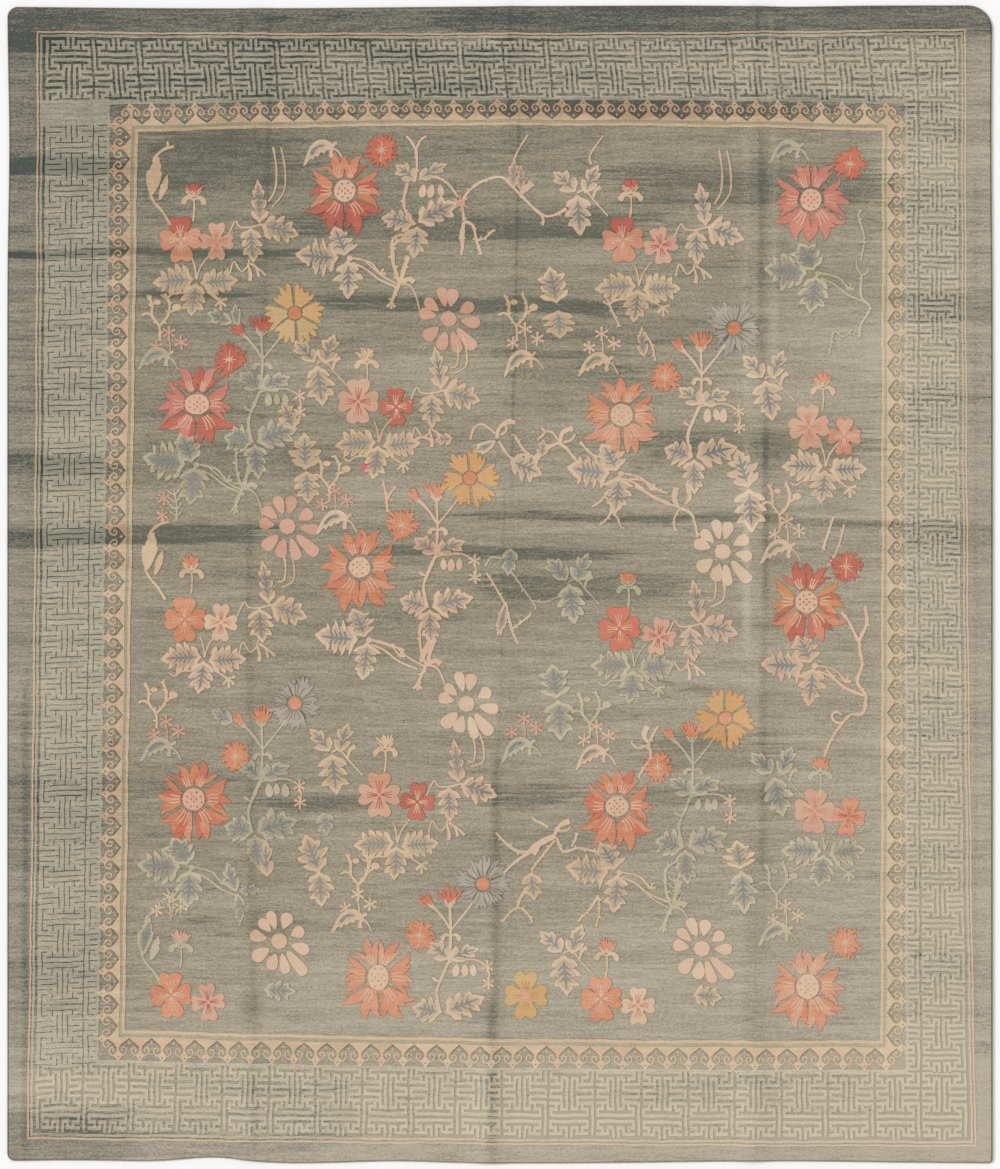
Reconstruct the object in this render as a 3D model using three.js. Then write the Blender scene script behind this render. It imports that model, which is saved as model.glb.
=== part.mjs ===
// A hand-knotted wool carpet lying flat on the floor, in millimetres: +X across it, +Y along it, +Z up.
// Ground and pile are one slab, which three old fold creases lift off the floor. Round the slab runs an
// overcast edge of whipped yarn, in four strips: one for each side, the end strips turning the corners.
// The origin is under the middle of the carpet, on the floor.

import * as THREE from 'three';
import { mergeVertices } from 'three/addons/utils/BufferGeometryUtils.js';

const CARPET_WIDTH = 3055;
const CARPET_LENGTH = 3590;
const FOUNDATION_THICKNESS = 3.5;
const PILE_HEIGHT = 7.5;

const OVERCAST_WIDTH = 6;
const OVERCAST_HEIGHT = 8;
const SEAM_GAP = 0.3;

// Radii of the slab's corners. The carpet was never cut square, so no two are alike.
const CORNER_RADII = { topLeft: 28, topRight: 70, bottomLeft: 20, bottomRight: 9 };

// Where an edge draws in from the straight: its place along the edge, its spread and its depth.
const EDGE_DIPS = [
  { edge: 'top', at: -850, spread: 760, depth: 9 },
  { edge: 'top', at: 900, spread: 170, depth: 4 },
  { edge: 'bottom', at: -1340, spread: 330, depth: 10 },
  { edge: 'bottom', at: -890, spread: 130, depth: 17 },
  { edge: 'bottom', at: -330, spread: 180, depth: 7 },
  { edge: 'bottom', at: 850, spread: 430, depth: 7 },
  { edge: 'left', at: 1360, spread: 280, depth: 6 },
  { edge: 'right', at: 1400, spread: 380, depth: 4 },
];

// The creases left by folding the carpet into four panels, from left to right. Each has its place across
// the carpet and its height at the bottom end, the middle and the top end, and its spread to each side.
const CREASES = [
  { across: { bottom: -783, middle: -787, top: -741 }, height: { bottom: 5, middle: 4, top: 5 }, spread: 44 },
  { across: { bottom: -34, middle: 10, top: 34 }, height: { bottom: 7, middle: 5, top: 5 }, spread: 48 },
  { across: { bottom: 782, middle: 812, top: 806 }, height: { bottom: 8, middle: 10, top: 8 }, spread: 52 },
];
const CREASE_REACH = 115;
const FLOOR_CONTACT_RISE = 0.3;

// The slab's grid: cells from rail to rail across the carpet, and rows between the two end corners.
const CELLS_PER_RUN = 3;
const ROWS_BETWEEN_CORNERS = 36;

const SLAB_WIDTH = CARPET_WIDTH - 2 * (OVERCAST_WIDTH + SEAM_GAP);
const SLAB_LENGTH = CARPET_LENGTH - 2 * (OVERCAST_WIDTH + SEAM_GAP);
const SLAB_THICKNESS = FOUNDATION_THICKNESS + PILE_HEIGHT;

const { lerp } = THREE.MathUtils;

// A value that runs smoothly through its bottom, middle and top figures along the carpet.
function alongCarpet(figures, y) {
  const t = (2 * y) / CARPET_LENGTH;
  const tilt = (figures.top - figures.bottom) / 2;
  const bow = (figures.top + figures.bottom) / 2 - figures.middle;
  return figures.middle + tilt * t + bow * t * t;
}

// How far the underside stands off the floor: nothing in the panels, and the crease's height along a crease.
function rise(x, y) {
  let height = 0;
  for (const crease of CREASES) {
    const across = (x - alongCarpet(crease.across, y)) / crease.spread;
    height += alongCarpet(crease.height, y) * Math.exp(-across * across);
  }
  return Math.max(0, height - FLOOR_CONTACT_RISE);
}

function edgeDip(edge, at) {
  let depth = 0;
  for (const dip of EDGE_DIPS) {
    const along = (at - dip.at) / dip.spread;
    if (dip.edge === edge) depth += dip.depth * Math.exp(-along * along);
  }
  return depth;
}

// Draws a point of the straight-edged plan in by the dips of the two edges that it lies towards.
function drawnIn(x, y) {
  const dipAcross = edgeDip(x < 0 ? 'left' : 'right', y);
  const dipAlong = edgeDip(y < 0 ? 'bottom' : 'top', x);
  return {
    x: x * (1 - (2 * dipAcross) / SLAB_WIDTH),
    y: y * (1 - (2 * dipAlong) / SLAB_LENGTH),
  };
}

// Splits each run between neighbouring rails into equal cells.
function splitRuns(rails, cellsOfRun) {
  const lines = [rails[0]];
  for (let run = 1; run < rails.length; run += 1) {
    const cells = cellsOfRun(run);
    for (let cell = 1; cell <= cells; cell += 1) {
      lines.push(lerp(rails[run - 1], rails[run], cell / cells));
    }
  }
  return lines;
}

// The column lines' places across the carpet at height y: they follow the corners and the creases.
function columnsAt(y) {
  const t = y / SLAB_LENGTH + 0.5;
  const rails = [-SLAB_WIDTH / 2, -SLAB_WIDTH / 2 + lerp(CORNER_RADII.bottomLeft, CORNER_RADII.topLeft, t)];
  for (const crease of CREASES) {
    const middle = alongCarpet(crease.across, y);
    rails.push(middle - CREASE_REACH, middle, middle + CREASE_REACH);
  }
  rails.push(SLAB_WIDTH / 2 - lerp(CORNER_RADII.bottomRight, CORNER_RADII.topRight, t), SLAB_WIDTH / 2);
  return splitRuns(rails, () => CELLS_PER_RUN);
}

// The row lines' places along the carpet at x.
function rowsAt(x) {
  const t = x / SLAB_WIDTH + 0.5;
  const rails = [
    -SLAB_LENGTH / 2,
    -SLAB_LENGTH / 2 + lerp(CORNER_RADII.bottomLeft, CORNER_RADII.bottomRight, t),
    SLAB_LENGTH / 2 - lerp(CORNER_RADII.topLeft, CORNER_RADII.topRight, t),
    SLAB_LENGTH / 2,
  ];
  return splitRuns(rails, (run) => (run === 2 ? ROWS_BETWEEN_CORNERS : CELLS_PER_RUN));
}

const COLUMN_COUNT = columnsAt(0).length;
const ROW_COUNT = rowsAt(0).length;

// The part of its corner that a grid line has turned: from 0 to 1 at the outline, signed by the side it is on.
function cornerTurn(line, lineCount) {
  const low = Math.max(0, 1 - line / CELLS_PER_RUN);
  const high = Math.max(0, 1 - (lineCount - 1 - line) / CELLS_PER_RUN);
  return high - low;
}

function cornerRadius(across, along) {
  const end = along < 0 ? 'bottom' : 'top';
  return CORNER_RADII[end + (across < 0 ? 'Left' : 'Right')];
}

// A grid crossing's place in plan, with the square corner blocks pressed into quarter discs. The outward
// direction there is square to the edge, or along the corner's radius.
function planPoint(column, row) {
  const a = cornerTurn(column, COLUMN_COUNT);
  const b = cornerTurn(row, ROW_COUNT);
  const outward = new THREE.Vector2(a * Math.sqrt(1 - (b * b) / 2), b * Math.sqrt(1 - (a * a) / 2));
  let x = columnsAt(rowsAt(0)[row])[column];
  let y = rowsAt(x)[row];
  if (a !== 0 && b !== 0) {
    const radius = cornerRadius(a, b);
    x = Math.sign(a) * (SLAB_WIDTH / 2 - radius) + radius * outward.x;
    y = Math.sign(b) * (SLAB_LENGTH / 2 - radius) + radius * outward.y;
  }
  return { ...drawnIn(x, y), outward: outward.normalize() };
}

// Gives each vertex of a stock shape its real place, and joins the vertices that then meet.
function reshape(geometry, placeOf) {
  geometry.deleteAttribute('normal');
  geometry.deleteAttribute('uv');
  const position = geometry.attributes.position;
  const vertex = new THREE.Vector3();
  for (let index = 0; index < position.count; index += 1) {
    vertex.fromBufferAttribute(position, index);
    position.setXYZ(index, ...placeOf(vertex));
  }
  const joined = mergeVertices(geometry, 0.001);
  joined.computeVertexNormals();
  return joined;
}

// Ground and pile: a block of one cell for each grid crossing, spread over the plan and laid on the rise.
function carpetSlab() {
  const columns = COLUMN_COUNT - 1;
  const rows = ROW_COUNT - 1;
  const block = new THREE.BoxGeometry(columns, rows, 1, columns, rows, 1);
  return reshape(block, (vertex) => {
    const plan = planPoint(Math.round(vertex.x + columns / 2), Math.round(vertex.y + rows / 2));
    const layer = vertex.z < 0 ? 0 : SLAB_THICKNESS;
    return [plan.x, plan.y, rise(plan.x, plan.y) + layer];
  });
}

// The grid crossings on one side of the outline, counter-clockwise. The end strips turn the corners, and
// the side strips run between them.
function outlineCrossings(side) {
  const lastColumn = COLUMN_COUNT - 1;
  const lastRow = ROW_COUNT - 1;
  const turn = CELLS_PER_RUN;
  const crossings = [];
  if (side === 'left' || side === 'right') {
    for (let row = turn; row <= lastRow - turn; row += 1) crossings.push([side === 'left' ? 0 : lastColumn, row]);
    return side === 'right' ? crossings : crossings.reverse();
  }
  const endRow = side === 'top' ? lastRow : 0;
  const rowInFrom = (steps) => Math.abs(endRow - steps);
  for (let step = turn; step > 0; step -= 1) crossings.push([0, rowInFrom(step)]);
  for (let column = 0; column <= lastColumn; column += 1) crossings.push([column, endRow]);
  for (let step = 1; step <= turn; step += 1) crossings.push([lastColumn, rowInFrom(step)]);
  return side === 'bottom' ? crossings : crossings.reverse();
}

// A strip of overcast yarn: a round bundle pressed flat under the carpet's edge, swept along one side.
function overcastStrip(side) {
  const stations = outlineCrossings(side).map(([column, row]) => planPoint(column, row));
  const trim = SEAM_GAP / 2;
  const shiftTowards = (end, next) => {
    const step = new THREE.Vector2(next.x - end.x, next.y - end.y).setLength(trim);
    return { ...end, x: end.x + step.x, y: end.y + step.y };
  };
  const last = stations.length - 1;
  stations[0] = shiftTowards(stations[0], stations[1]);
  stations[last] = shiftTowards(stations[last], stations[last - 1]);

  const sides = 6;
  const flatBottom = Math.PI / sides;
  const bundle = new THREE.CylinderGeometry(1, 1, last, sides, last, false, flatBottom);
  return reshape(bundle, (vertex) => {
    const station = stations[Math.round(vertex.y + last / 2)];
    const out = SEAM_GAP + (OVERCAST_WIDTH / 2) * (1 + vertex.x);
    const up = (OVERCAST_HEIGHT / 2) * (1 + vertex.z / Math.cos(flatBottom));
    return [
      station.x + station.outward.x * out,
      station.y + station.outward.y * out,
      up + rise(station.x, station.y),
    ];
  });
}

const woolPile = new THREE.MeshStandardMaterial({ color: 0x7f8a79, roughness: 0.95, metalness: 0 });
const overcastYarn = new THREE.MeshStandardMaterial({ color: 0x5e4a40, roughness: 0.9, metalness: 0 });

function named(name, geometry, material) {
  const mesh = new THREE.Mesh(geometry, material);
  mesh.name = name;
  return mesh;
}

const carpet = new THREE.Group();
carpet.add(named('rug', carpetSlab(), woolPile));
for (const side of ['left', 'right', 'top', 'bottom']) {
  carpet.add(named(`binding_${side}`, overcastStrip(side), overcastYarn));
}

export default carpet;
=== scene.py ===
# A hand-knotted Nepalese carpet laid flat: slate-green wool with abrash, a fret border, a scroll frieze and
# a field of flower sprays whose raised pile is carved round. Plan sizes are in millimetres, and become metres
# as each piece is laid.
import itertools
import math
import random
from collections import namedtuple

import bmesh
import bpy
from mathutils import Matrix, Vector


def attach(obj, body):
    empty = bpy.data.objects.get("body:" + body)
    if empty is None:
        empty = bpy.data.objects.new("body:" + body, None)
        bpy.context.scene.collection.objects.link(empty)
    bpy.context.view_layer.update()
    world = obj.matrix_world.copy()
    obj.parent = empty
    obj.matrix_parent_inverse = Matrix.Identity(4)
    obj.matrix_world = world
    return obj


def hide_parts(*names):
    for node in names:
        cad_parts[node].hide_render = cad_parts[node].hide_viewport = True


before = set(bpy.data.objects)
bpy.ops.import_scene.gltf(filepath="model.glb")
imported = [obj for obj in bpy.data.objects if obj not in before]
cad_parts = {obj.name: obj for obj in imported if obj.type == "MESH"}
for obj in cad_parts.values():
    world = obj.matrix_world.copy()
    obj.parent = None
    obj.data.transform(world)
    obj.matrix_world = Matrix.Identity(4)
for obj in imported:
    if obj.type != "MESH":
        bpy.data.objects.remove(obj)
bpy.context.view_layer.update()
MM = 0.001


# ---- Camera, light and floor ------------------------------------------------------------------------------
# The carpet is looked at from straight above, on a plain pale floor. A wide sun from the left and a pale sky
# show the creases and the carved pile.
CAMERA_HEIGHT = 10.0
SEEN_LENGTH = 3.624
SENSOR = 36.0

camera_data = bpy.data.cameras.new("camera")
camera_data.sensor_width = SENSOR
camera_data.lens = SENSOR * CAMERA_HEIGHT / SEEN_LENGTH
camera = bpy.data.objects.new("camera", camera_data)
camera.location = (0, 0, CAMERA_HEIGHT)
bpy.context.scene.collection.objects.link(camera)
bpy.context.scene.camera = camera

sun_data = bpy.data.lights.new("sun", "SUN")
sun_data.energy = 1.75
sun_data.angle = math.radians(16)
sun = bpy.data.objects.new("sun", sun_data)
sun.rotation_euler = (math.radians(-12), math.radians(-50), 0)
bpy.context.scene.collection.objects.link(sun)

world = bpy.data.worlds.new("world")
world.use_nodes = True
world.node_tree.nodes["Background"].inputs["Color"].default_value = (1, 1, 1, 1)
world.node_tree.nodes["Background"].inputs["Strength"].default_value = 0.68
bpy.context.scene.world = world
bpy.context.scene.view_settings.view_transform = "Standard"

floor_mesh = bpy.data.meshes.new("floor")
floor = bpy.data.objects.new("floor", floor_mesh)
bpy.context.scene.collection.objects.link(floor)
plan = bmesh.new()
bmesh.ops.create_grid(plan, x_segments=1, y_segments=1, size=8)
plan.to_mesh(floor_mesh)
plan.free()
paper = bpy.data.materials.new("paper")
paper.use_nodes = True
paper.node_tree.nodes["Principled BSDF"].inputs["Base Color"].default_value = (0.93, 0.93, 0.93, 1)
paper.node_tree.nodes["Principled BSDF"].inputs["Roughness"].default_value = 0.9
floor_mesh.materials.append(paper)


# ---- How the carpet lies ----------------------------------------------------------------------------------
# The slab's plan and its three soft creases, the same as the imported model's, and the drift of the two woven
# frames: the guard line's and the field's. Every piece below is laid by these functions.
SLAB_WIDTH = 3042.4
SLAB_LENGTH = 3577.4
PILE_TOP = 11.0
FLOOR_CONTACT_RISE = 0.3
CORNER_RADII = {(-1, 1): 28, (1, 1): 70, (-1, -1): 20, (1, -1): 9}

Dip = namedtuple("Dip", "side at spread depth")
DIPS = [
    Dip("top", -850, 760, 9),
    Dip("top", 900, 170, 4),
    Dip("bottom", -1340, 330, 10),
    Dip("bottom", -890, 130, 17),
    Dip("bottom", -330, 180, 7),
    Dip("bottom", 850, 430, 7),
    Dip("left", 1360, 280, 6),
    Dip("right", 1400, 380, 4),
]

Run = namedtuple("Run", "bottom middle top")
Crease = namedtuple("Crease", "across height spread")
CREASES = [
    Crease(Run(-783, -787, -741), Run(5, 4, 5), 44),
    Crease(Run(-34, 10, 34), Run(7, 5, 5), 48),
    Crease(Run(782, 812, 806), Run(8, 10, 8), 52),
]
CREASE_REACH = 115

Woven = namedtuple("Woven", "half_width half_length corners bows")
GUARD = Woven(1453, 1722, {(-1, 1): (20, -9), (1, 1): (-11, -1.5), (-1, -1): (-12, 6), (1, -1): (21, -18)},
              {"left": 7, "right": -9, "top": -10, "bottom": -5})
FIELD = Woven(1162, 1399, {(-1, 1): (41, 2), (1, 1): (21, 5), (-1, -1): (0, 19.5), (1, -1): (16, -13)},
              {"left": 0, "right": 0, "top": 19, "bottom": -10})
BAND_ACROSS = GUARD.half_width - FIELD.half_width
BAND_ALONG = GUARD.half_length - FIELD.half_length


def along_carpet(run, y):
    """A value of a crease at y, from its values at the two ends and the middle."""
    t = 2 * y / 3590
    return run.middle + (run.top - run.bottom) / 2 * t + ((run.top + run.bottom) / 2 - run.middle) * t * t


def rise(x, y):
    """How far the creases lift the carpet off the floor at a point."""
    lift = 0
    for crease in CREASES:
        away = (x - along_carpet(crease.across, y)) / crease.spread
        lift += along_carpet(crease.height, y) * math.exp(-away * away)
    return max(0.0, lift - FLOOR_CONTACT_RISE)


def drawn_in(x, y):
    """Moves a point of the true rectangle to where the uneven edges have drawn it."""
    dips = {"top": 0, "bottom": 0, "left": 0, "right": 0}
    for dip in DIPS:
        at = x if dip.side in ("top", "bottom") else y
        dips[dip.side] += dip.depth * math.exp(-((at - dip.at) / dip.spread) ** 2)
    across = dips["left"] if x < 0 else dips["right"]
    along = dips["bottom"] if y < 0 else dips["top"]
    return x * (1 - 2 * across / SLAB_WIDTH), y * (1 - 2 * along / SLAB_LENGTH)


def in_plan(x, y):
    """Moves a point of the slab's rectangle into its plan, with the corners rounded."""
    corner = (1 if x > 0 else -1, 1 if y > 0 else -1)
    radius = CORNER_RADII[corner]
    a = (abs(x) - SLAB_WIDTH / 2) / radius + 1
    b = (abs(y) - SLAB_LENGTH / 2) / radius + 1
    if a > 0 and b > 0:
        x += corner[0] * radius * (a * math.sqrt(1 - b * b / 2) - a)
        y += corner[1] * radius * (b * math.sqrt(1 - a * a / 2) - b)
    return drawn_in(x, y)


def drift(woven, x, y):
    """How far a woven frame has drifted from its true rectangle near a point."""
    u = min(1, max(0, (x / woven.half_width + 1) / 2))
    v = min(1, max(0, (y / woven.half_length + 1) / 2))
    moves = []
    for axis in (0, 1):
        low = woven.corners[-1, -1][axis] * (1 - u) + woven.corners[1, -1][axis] * u
        high = woven.corners[-1, 1][axis] * (1 - u) + woven.corners[1, 1][axis] * u
        moves.append(low * (1 - v) + high * v)
    bows = woven.bows
    moves[0] += (bows["left"] * (1 - u) + bows["right"] * u) * 4 * v * (1 - v)
    moves[1] += (bows["bottom"] * (1 - v) + bows["top"] * v) * 4 * u * (1 - u)
    return moves


def settle(x, y):
    """Moves a point of the true border plan to where the weaving has put it."""
    inward = max((abs(x) - FIELD.half_width) / BAND_ACROSS, (abs(y) - FIELD.half_length) / BAND_ALONG)
    outward = min(1, max(0, inward))
    inner = drift(FIELD, x, y)
    outer = drift(GUARD, x, y)
    waver_x = 1.0 * math.sin(x / 47 + y / 71) + 0.9 * math.sin(y / 13 - x / 29)
    waver_y = 1.0 * math.sin(y / 53 - x / 67) + 0.9 * math.sin(x / 14 + y / 31)
    return (x + inner[0] * (1 - outward) + outer[0] * outward + waver_x,
            y + inner[1] * (1 - outward) + outer[1] * outward + waver_y)


# ---- Wool -------------------------------------------------------------------------------------------------
# Every dye is three tones of wool that follow one shared tone, abrash with painted light and shade along the
# creases, with rows of knots as grain and bump and painted shade on the walls where the pile is carved. The
# carpet is told off in plots, and a piece wears one material for each plot it lies on, with only the streaks,
# painted crease shading and stains that reach that plot.
# Streaks of lighter and darker tone, mostly abrash. The rows over the border make it darker at the top and
# lighter towards the bottom and the right.
Streak = namedtuple("Streak", "left right low high slope soft_low soft_high strength")
STREAKS = [
    Streak(-1600, 1600, 1706, 1900, 0, 10, 14, -0.27),
    Streak(-1600, -200, 1706, 1900, 0, 10, 14, 0.15),
    Streak(-1600, -1380, 1640, 1720, 0, 3, 14, -0.32),
    Streak(-1440, -640, 1500, 1712, 0, 40, 30, -0.05),
    Streak(-800, 1300, 1454, 1508, 0, 6, 6, -0.20),
    Streak(30, 620, 1448, 1512, 0, 8, 6, -0.20),
    Streak(1180, 1600, 1100, 1712, 0, 90, 60, 0.10),
    Streak(-1600, -1160, -600, 1200, 0, 200, 300, 0.08),
    Streak(-1600, 1600, -1860, -1440, 0, 60, 20, 0.14),
    Streak(1160, 1600, -1600, 1420, 0, 60, 60, 0.12),
    Streak(-1600, -1450, -1800, 900, 0, 300, 300, 0.06),
    Streak(-1115, -620, 1190, 1390, 0, 40, 30, -0.20),
    Streak(-640, 433, 1070, 1150, 0, 4, 22, -0.32),
    Streak(371, 1177, 1172, 1302, 0, 3, 30, -0.28),
    Streak(-1530, -620, 1014, 1038, 0, 4, 6, -0.40),
    Streak(-1148, -807, 884, 905, 0, 4, 5, -0.40),
    Streak(-528, 371, 837, 884, -12, 8, 12, -0.42),
    Streak(-120, 420, 700, 724, 6, 4, 10, -0.26),
    Streak(-63, 805, 744, 822, 0, 14, 14, -0.16),
    Streak(433, 1177, 388, 480, 0, 25, 20, -0.28),
    Streak(-1148, -466, 326, 450, 0, 14, 40, -0.15),
    Streak(-1530, -714, 124, 177, 0, 6, 14, -0.42),
    Streak(-63, 1177, 202, 226, -20, 4, 8, -0.35),
    Streak(-373, 310, 78, 115, -30, 4, 10, -0.35),
    Streak(-63, 557, -47, 31, 0, 12, 20, -0.32),
    Streak(-16, 247, -682, -620, 0, 12, 14, -0.35),
    Streak(433, 867, -682, -620, 0, 12, 14, -0.33),
    Streak(-683, -373, -698, -651, 0, 8, 12, -0.30),
    Streak(-63, 867, -884, -729, 0, 30, 30, -0.10),
    Streak(-1200, 1200, -1420, -1180, 0, 20, 60, 0.06),
    Streak(-1530, -1160, 1271, 1333, 0, 8, 14, -0.30),
    Streak(-1530, -1160, 341, 403, 0, 8, 14, -0.30),
    Streak(1160, 1530, 1085, 1271, 0, 12, 18, -0.10),
    Streak(1160, 1530, 822, 915, 0, 10, 16, -0.22),
    Streak(1160, 1530, 124, 202, 0, 8, 14, -0.22),
    Streak(-300, 450, 905, 1060, 0, 20, 30, 0.08),
    Streak(-700, -60, 590, 690, 0, 20, 40, 0.10),
    Streak(-500, 900, 250, 330, 0, 16, 30, 0.12),
    Streak(403, 830, 1310, 1400, 0, 8, 20, 0.05),
    Streak(-1150, -780, 196, 300, 0, 10, 20, 0.06),
    Streak(1000, 1177, 634, 800, 0, 16, 30, 0.07),
    Streak(1190, 1300, -400, 900, 0, 90, 60, 0.05),
    Streak(-1600, -500, -1860, -1690, 0, 60, 20, -0.07),
    Streak(-1200, -420, -1180, -1080, 0, 30, 30, 0.07),
    Streak(740, 1260, 440, 900, 0, 60, 60, 0.13),
    Streak(-480, 420, -1720, -1500, 0, 40, 30, 0.11),
    Streak(-380, 0, 1510, 1660, 0, 40, 20, -0.14),
    Streak(-1480, -1190, 500, 1450, 0, 50, 60, -0.08),
    Streak(-1480, -1190, -1500, 400, 0, 50, 60, -0.06),
    # Painted shade of a crumple in the pile.
    Streak(480, 830, -580, -450, 0, 20, 20, -0.30),
    Streak(1490, 1600, 700, 1750, 0, 20, 60, 0.07),
    Streak(-1600, -560, -930, -560, 0, 60, 60, -0.10),
    Streak(-1600, -1150, -1900, -1620, 0, 60, 60, -0.20),
    Streak(20, 440, 520, 700, 0, 40, 60, -0.14),
]
MIDDLE_TONE = 0.56
# The tone grows lighter towards the bottom and towards the right of the carpet.
TONE_PER_METRE_UP = -0.095
TONE_PER_METRE_RIGHT = 0.070
# Bands of painted light and shade along the creases: a positive strength paints light, a negative one paints
# shade.
CreaseShade = namedtuple("CreaseShade", "across low high lean spread strength")
CREASE_SHADES = [
    CreaseShade(760, 570, 1425, 0, 20, 0.10),
    CreaseShade(806, 570, 1425, 0, 16, -0.12),
    CreaseShade(850, 570, 1425, 0, 24, 0.18),
    CreaseShade(762, -170, 450, 0, 22, 0.26),
    CreaseShade(822, -80, 520, 0, 20, -0.26),
    CreaseShade(812, 560, 1400, 0, 22, -0.12),
    CreaseShade(815, -885, -150, 0, 24, -0.18),
    CreaseShade(782, -1500, -800, 0, 60, -0.14),
    CreaseShade(30, 300, 1500, 0.02, 9, -0.20),
    CreaseShade(8, -540, 300, 0.02, 8, -0.10),
    CreaseShade(-12, -1300, -520, 0, 26, -0.26),
    CreaseShade(-24, -1760, -1280, 0, 30, -0.34),
    CreaseShade(-745, 700, 1750, 0.02, 14, -0.12),
    CreaseShade(-776, -1750, 200, -0.01, 20, -0.13),
    CreaseShade(-720, 0, 700, 0, 22, 0.07),
    CreaseShade(-124, 1500, 1700, 0, 16, 0.14),
    CreaseShade(31, 1450, 1790, 0, 14, -0.16),
    CreaseShade(798, 1425, 1790, 0, 14, -0.16),
    CreaseShade(837, 1425, 1790, 0, 14, 0.14),
    CreaseShade(-802, 1425, 1790, 0, 14, -0.12),
    CreaseShade(-1470, -1750, -300, 0, 20, -0.20),
    CreaseShade(1474, -1600, 1300, 0, 12, -0.08),
]


def linked(tree, value, socket):
    """Joins a socket or sets a plain number on it."""
    if isinstance(value, bpy.types.NodeSocket):
        tree.links.new(value, socket)
    else:
        socket.default_value = value


def reckon(tree, operation, *values):
    """One arithmetic node, and its result."""
    node = tree.nodes.new("ShaderNodeMath")
    node.operation = operation
    for value, socket in zip(values, node.inputs):
        linked(tree, value, socket)
    return node.outputs[0]


def fade(tree, value, start, end, low=0.0, high=1.0):
    """A soft step from low to high while a value goes from start to end."""
    node = tree.nodes.new("ShaderNodeMapRange")
    node.interpolation_type = "SMOOTHSTEP"
    linked(tree, value, node.inputs["Value"])
    if end >= start:
        ends = (start, end, low, high)
    else:
        ends = (end, start, high, low)
    for name, number in zip(("From Min", "From Max", "To Min", "To Max"), ends):
        linked(tree, number, node.inputs[name])
    return node.outputs[0]


def stretched_noise(tree, x, y, across, along, layer, detail=2.0):
    """Noise whose patches are 1/across metres wide and 1/along metres long, centred on nought."""
    point = tree.nodes.new("ShaderNodeCombineXYZ")
    linked(tree, reckon(tree, "MULTIPLY", x, across), point.inputs[0])
    linked(tree, reckon(tree, "MULTIPLY", y, along), point.inputs[1])
    point.inputs[2].default_value = layer
    node = tree.nodes.new("ShaderNodeTexNoise")
    node.inputs["Scale"].default_value = 1.0
    node.inputs["Detail"].default_value = detail
    tree.links.new(point.outputs[0], node.inputs["Vector"])
    return reckon(tree, "SUBTRACT", node.outputs["Fac"], 0.5)


STAIN_RIPPLE = 0.03
Stain = namedtuple("Stain", "x y radius strength")
STAINS = [
    Stain(-770, -1300, 60, -0.22), Stain(1500, -1440, 40, -0.25), Stain(-280, 290, 70, -0.10),
    Stain(1295, -1147, 18, -0.35), Stain(-45, -1340, 90, -0.12), Stain(-700, -1060, 110, -0.08),
]
PINK_STAINS = [Stain(-420, 365, 20, 0.7), Stain(-218, 118, 15, 0.45)]
DyeBand = namedtuple("DyeBand", "across along layer detail strength")
DYE_BANDS = [
    DyeBand(0.7, 5.5, 1.3, 4.0, 0.48),
    DyeBand(1.8, 26.0, 2.2, 3.0, 0.52),
    DyeBand(9.0, 120.0, 4.9, 3.0, 0.75),
    DyeBand(75.0, 240.0, 8.3, 1.0, 0.60),
]
TUFT_TONE = 0.90
DrawnLine = namedtuple("DrawnLine", "across along layer width strength")
DRAWN_LINES = [DrawnLine(1.1, 9.0, 6.6, 0.010, -0.20), DrawnLine(1.7, 14.0, 9.4, 0.009, -0.14)]
Plot = namedtuple("Plot", "left right low high")
PLOT_COLUMNS = 3
PLOT_ROWS = 6
PLOT_WIDTH = 1040
PLOT_LENGTH = 606
PLOT_MARGIN = 110
WAVER_ALONG = 0.045
RIPPLE_ALONG = 0.006
CREASE_SHADE_WAVER = 0.012
RAGGED_ACROSS = 0.45
WAVER_SWING = 30
RAGGED_SWING = 230
END_SOFT = 60
SELVEDGE = 1500
FAR_OFF = 9000


def plot_index(x, y):
    """The number of the plot that a place in metres lies on, counted from the lower left."""
    column = min(PLOT_COLUMNS - 1, max(0, int(x / MM / PLOT_WIDTH + PLOT_COLUMNS / 2)))
    row = min(PLOT_ROWS - 1, max(0, int(y / MM / PLOT_LENGTH + PLOT_ROWS / 2)))
    return row * PLOT_COLUMNS + column


def plot_of(index):
    """The sides of a plot, let out by the margin; the outermost plots go on outwards."""
    left = (index % PLOT_COLUMNS - PLOT_COLUMNS / 2) * PLOT_WIDTH
    low = (index // PLOT_COLUMNS - PLOT_ROWS / 2) * PLOT_LENGTH
    return Plot(left - PLOT_MARGIN, left + PLOT_WIDTH + PLOT_MARGIN,
                low - PLOT_MARGIN, low + PLOT_LENGTH + PLOT_MARGIN)


def reaches(plot, left, right, low, high):
    """True if what lies between these sides shows on the plot."""
    return left < plot.right and right > plot.left and low < plot.high and high > plot.low


def between(tree, value, low, high, soft, swing, span, mask):
    """Dims a mask outside low to high, and leaves out an end that the span doesn't come near."""
    if low + soft[0] + swing > span[0]:
        mask = fade(tree, value, (low - soft[0]) * MM, (low + soft[0]) * MM, 0.0, mask)
    if high - soft[1] - swing < span[1]:
        mask = fade(tree, value, (high + soft[1]) * MM, (high - soft[1]) * MM, 0.0, mask)
    return mask


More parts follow.
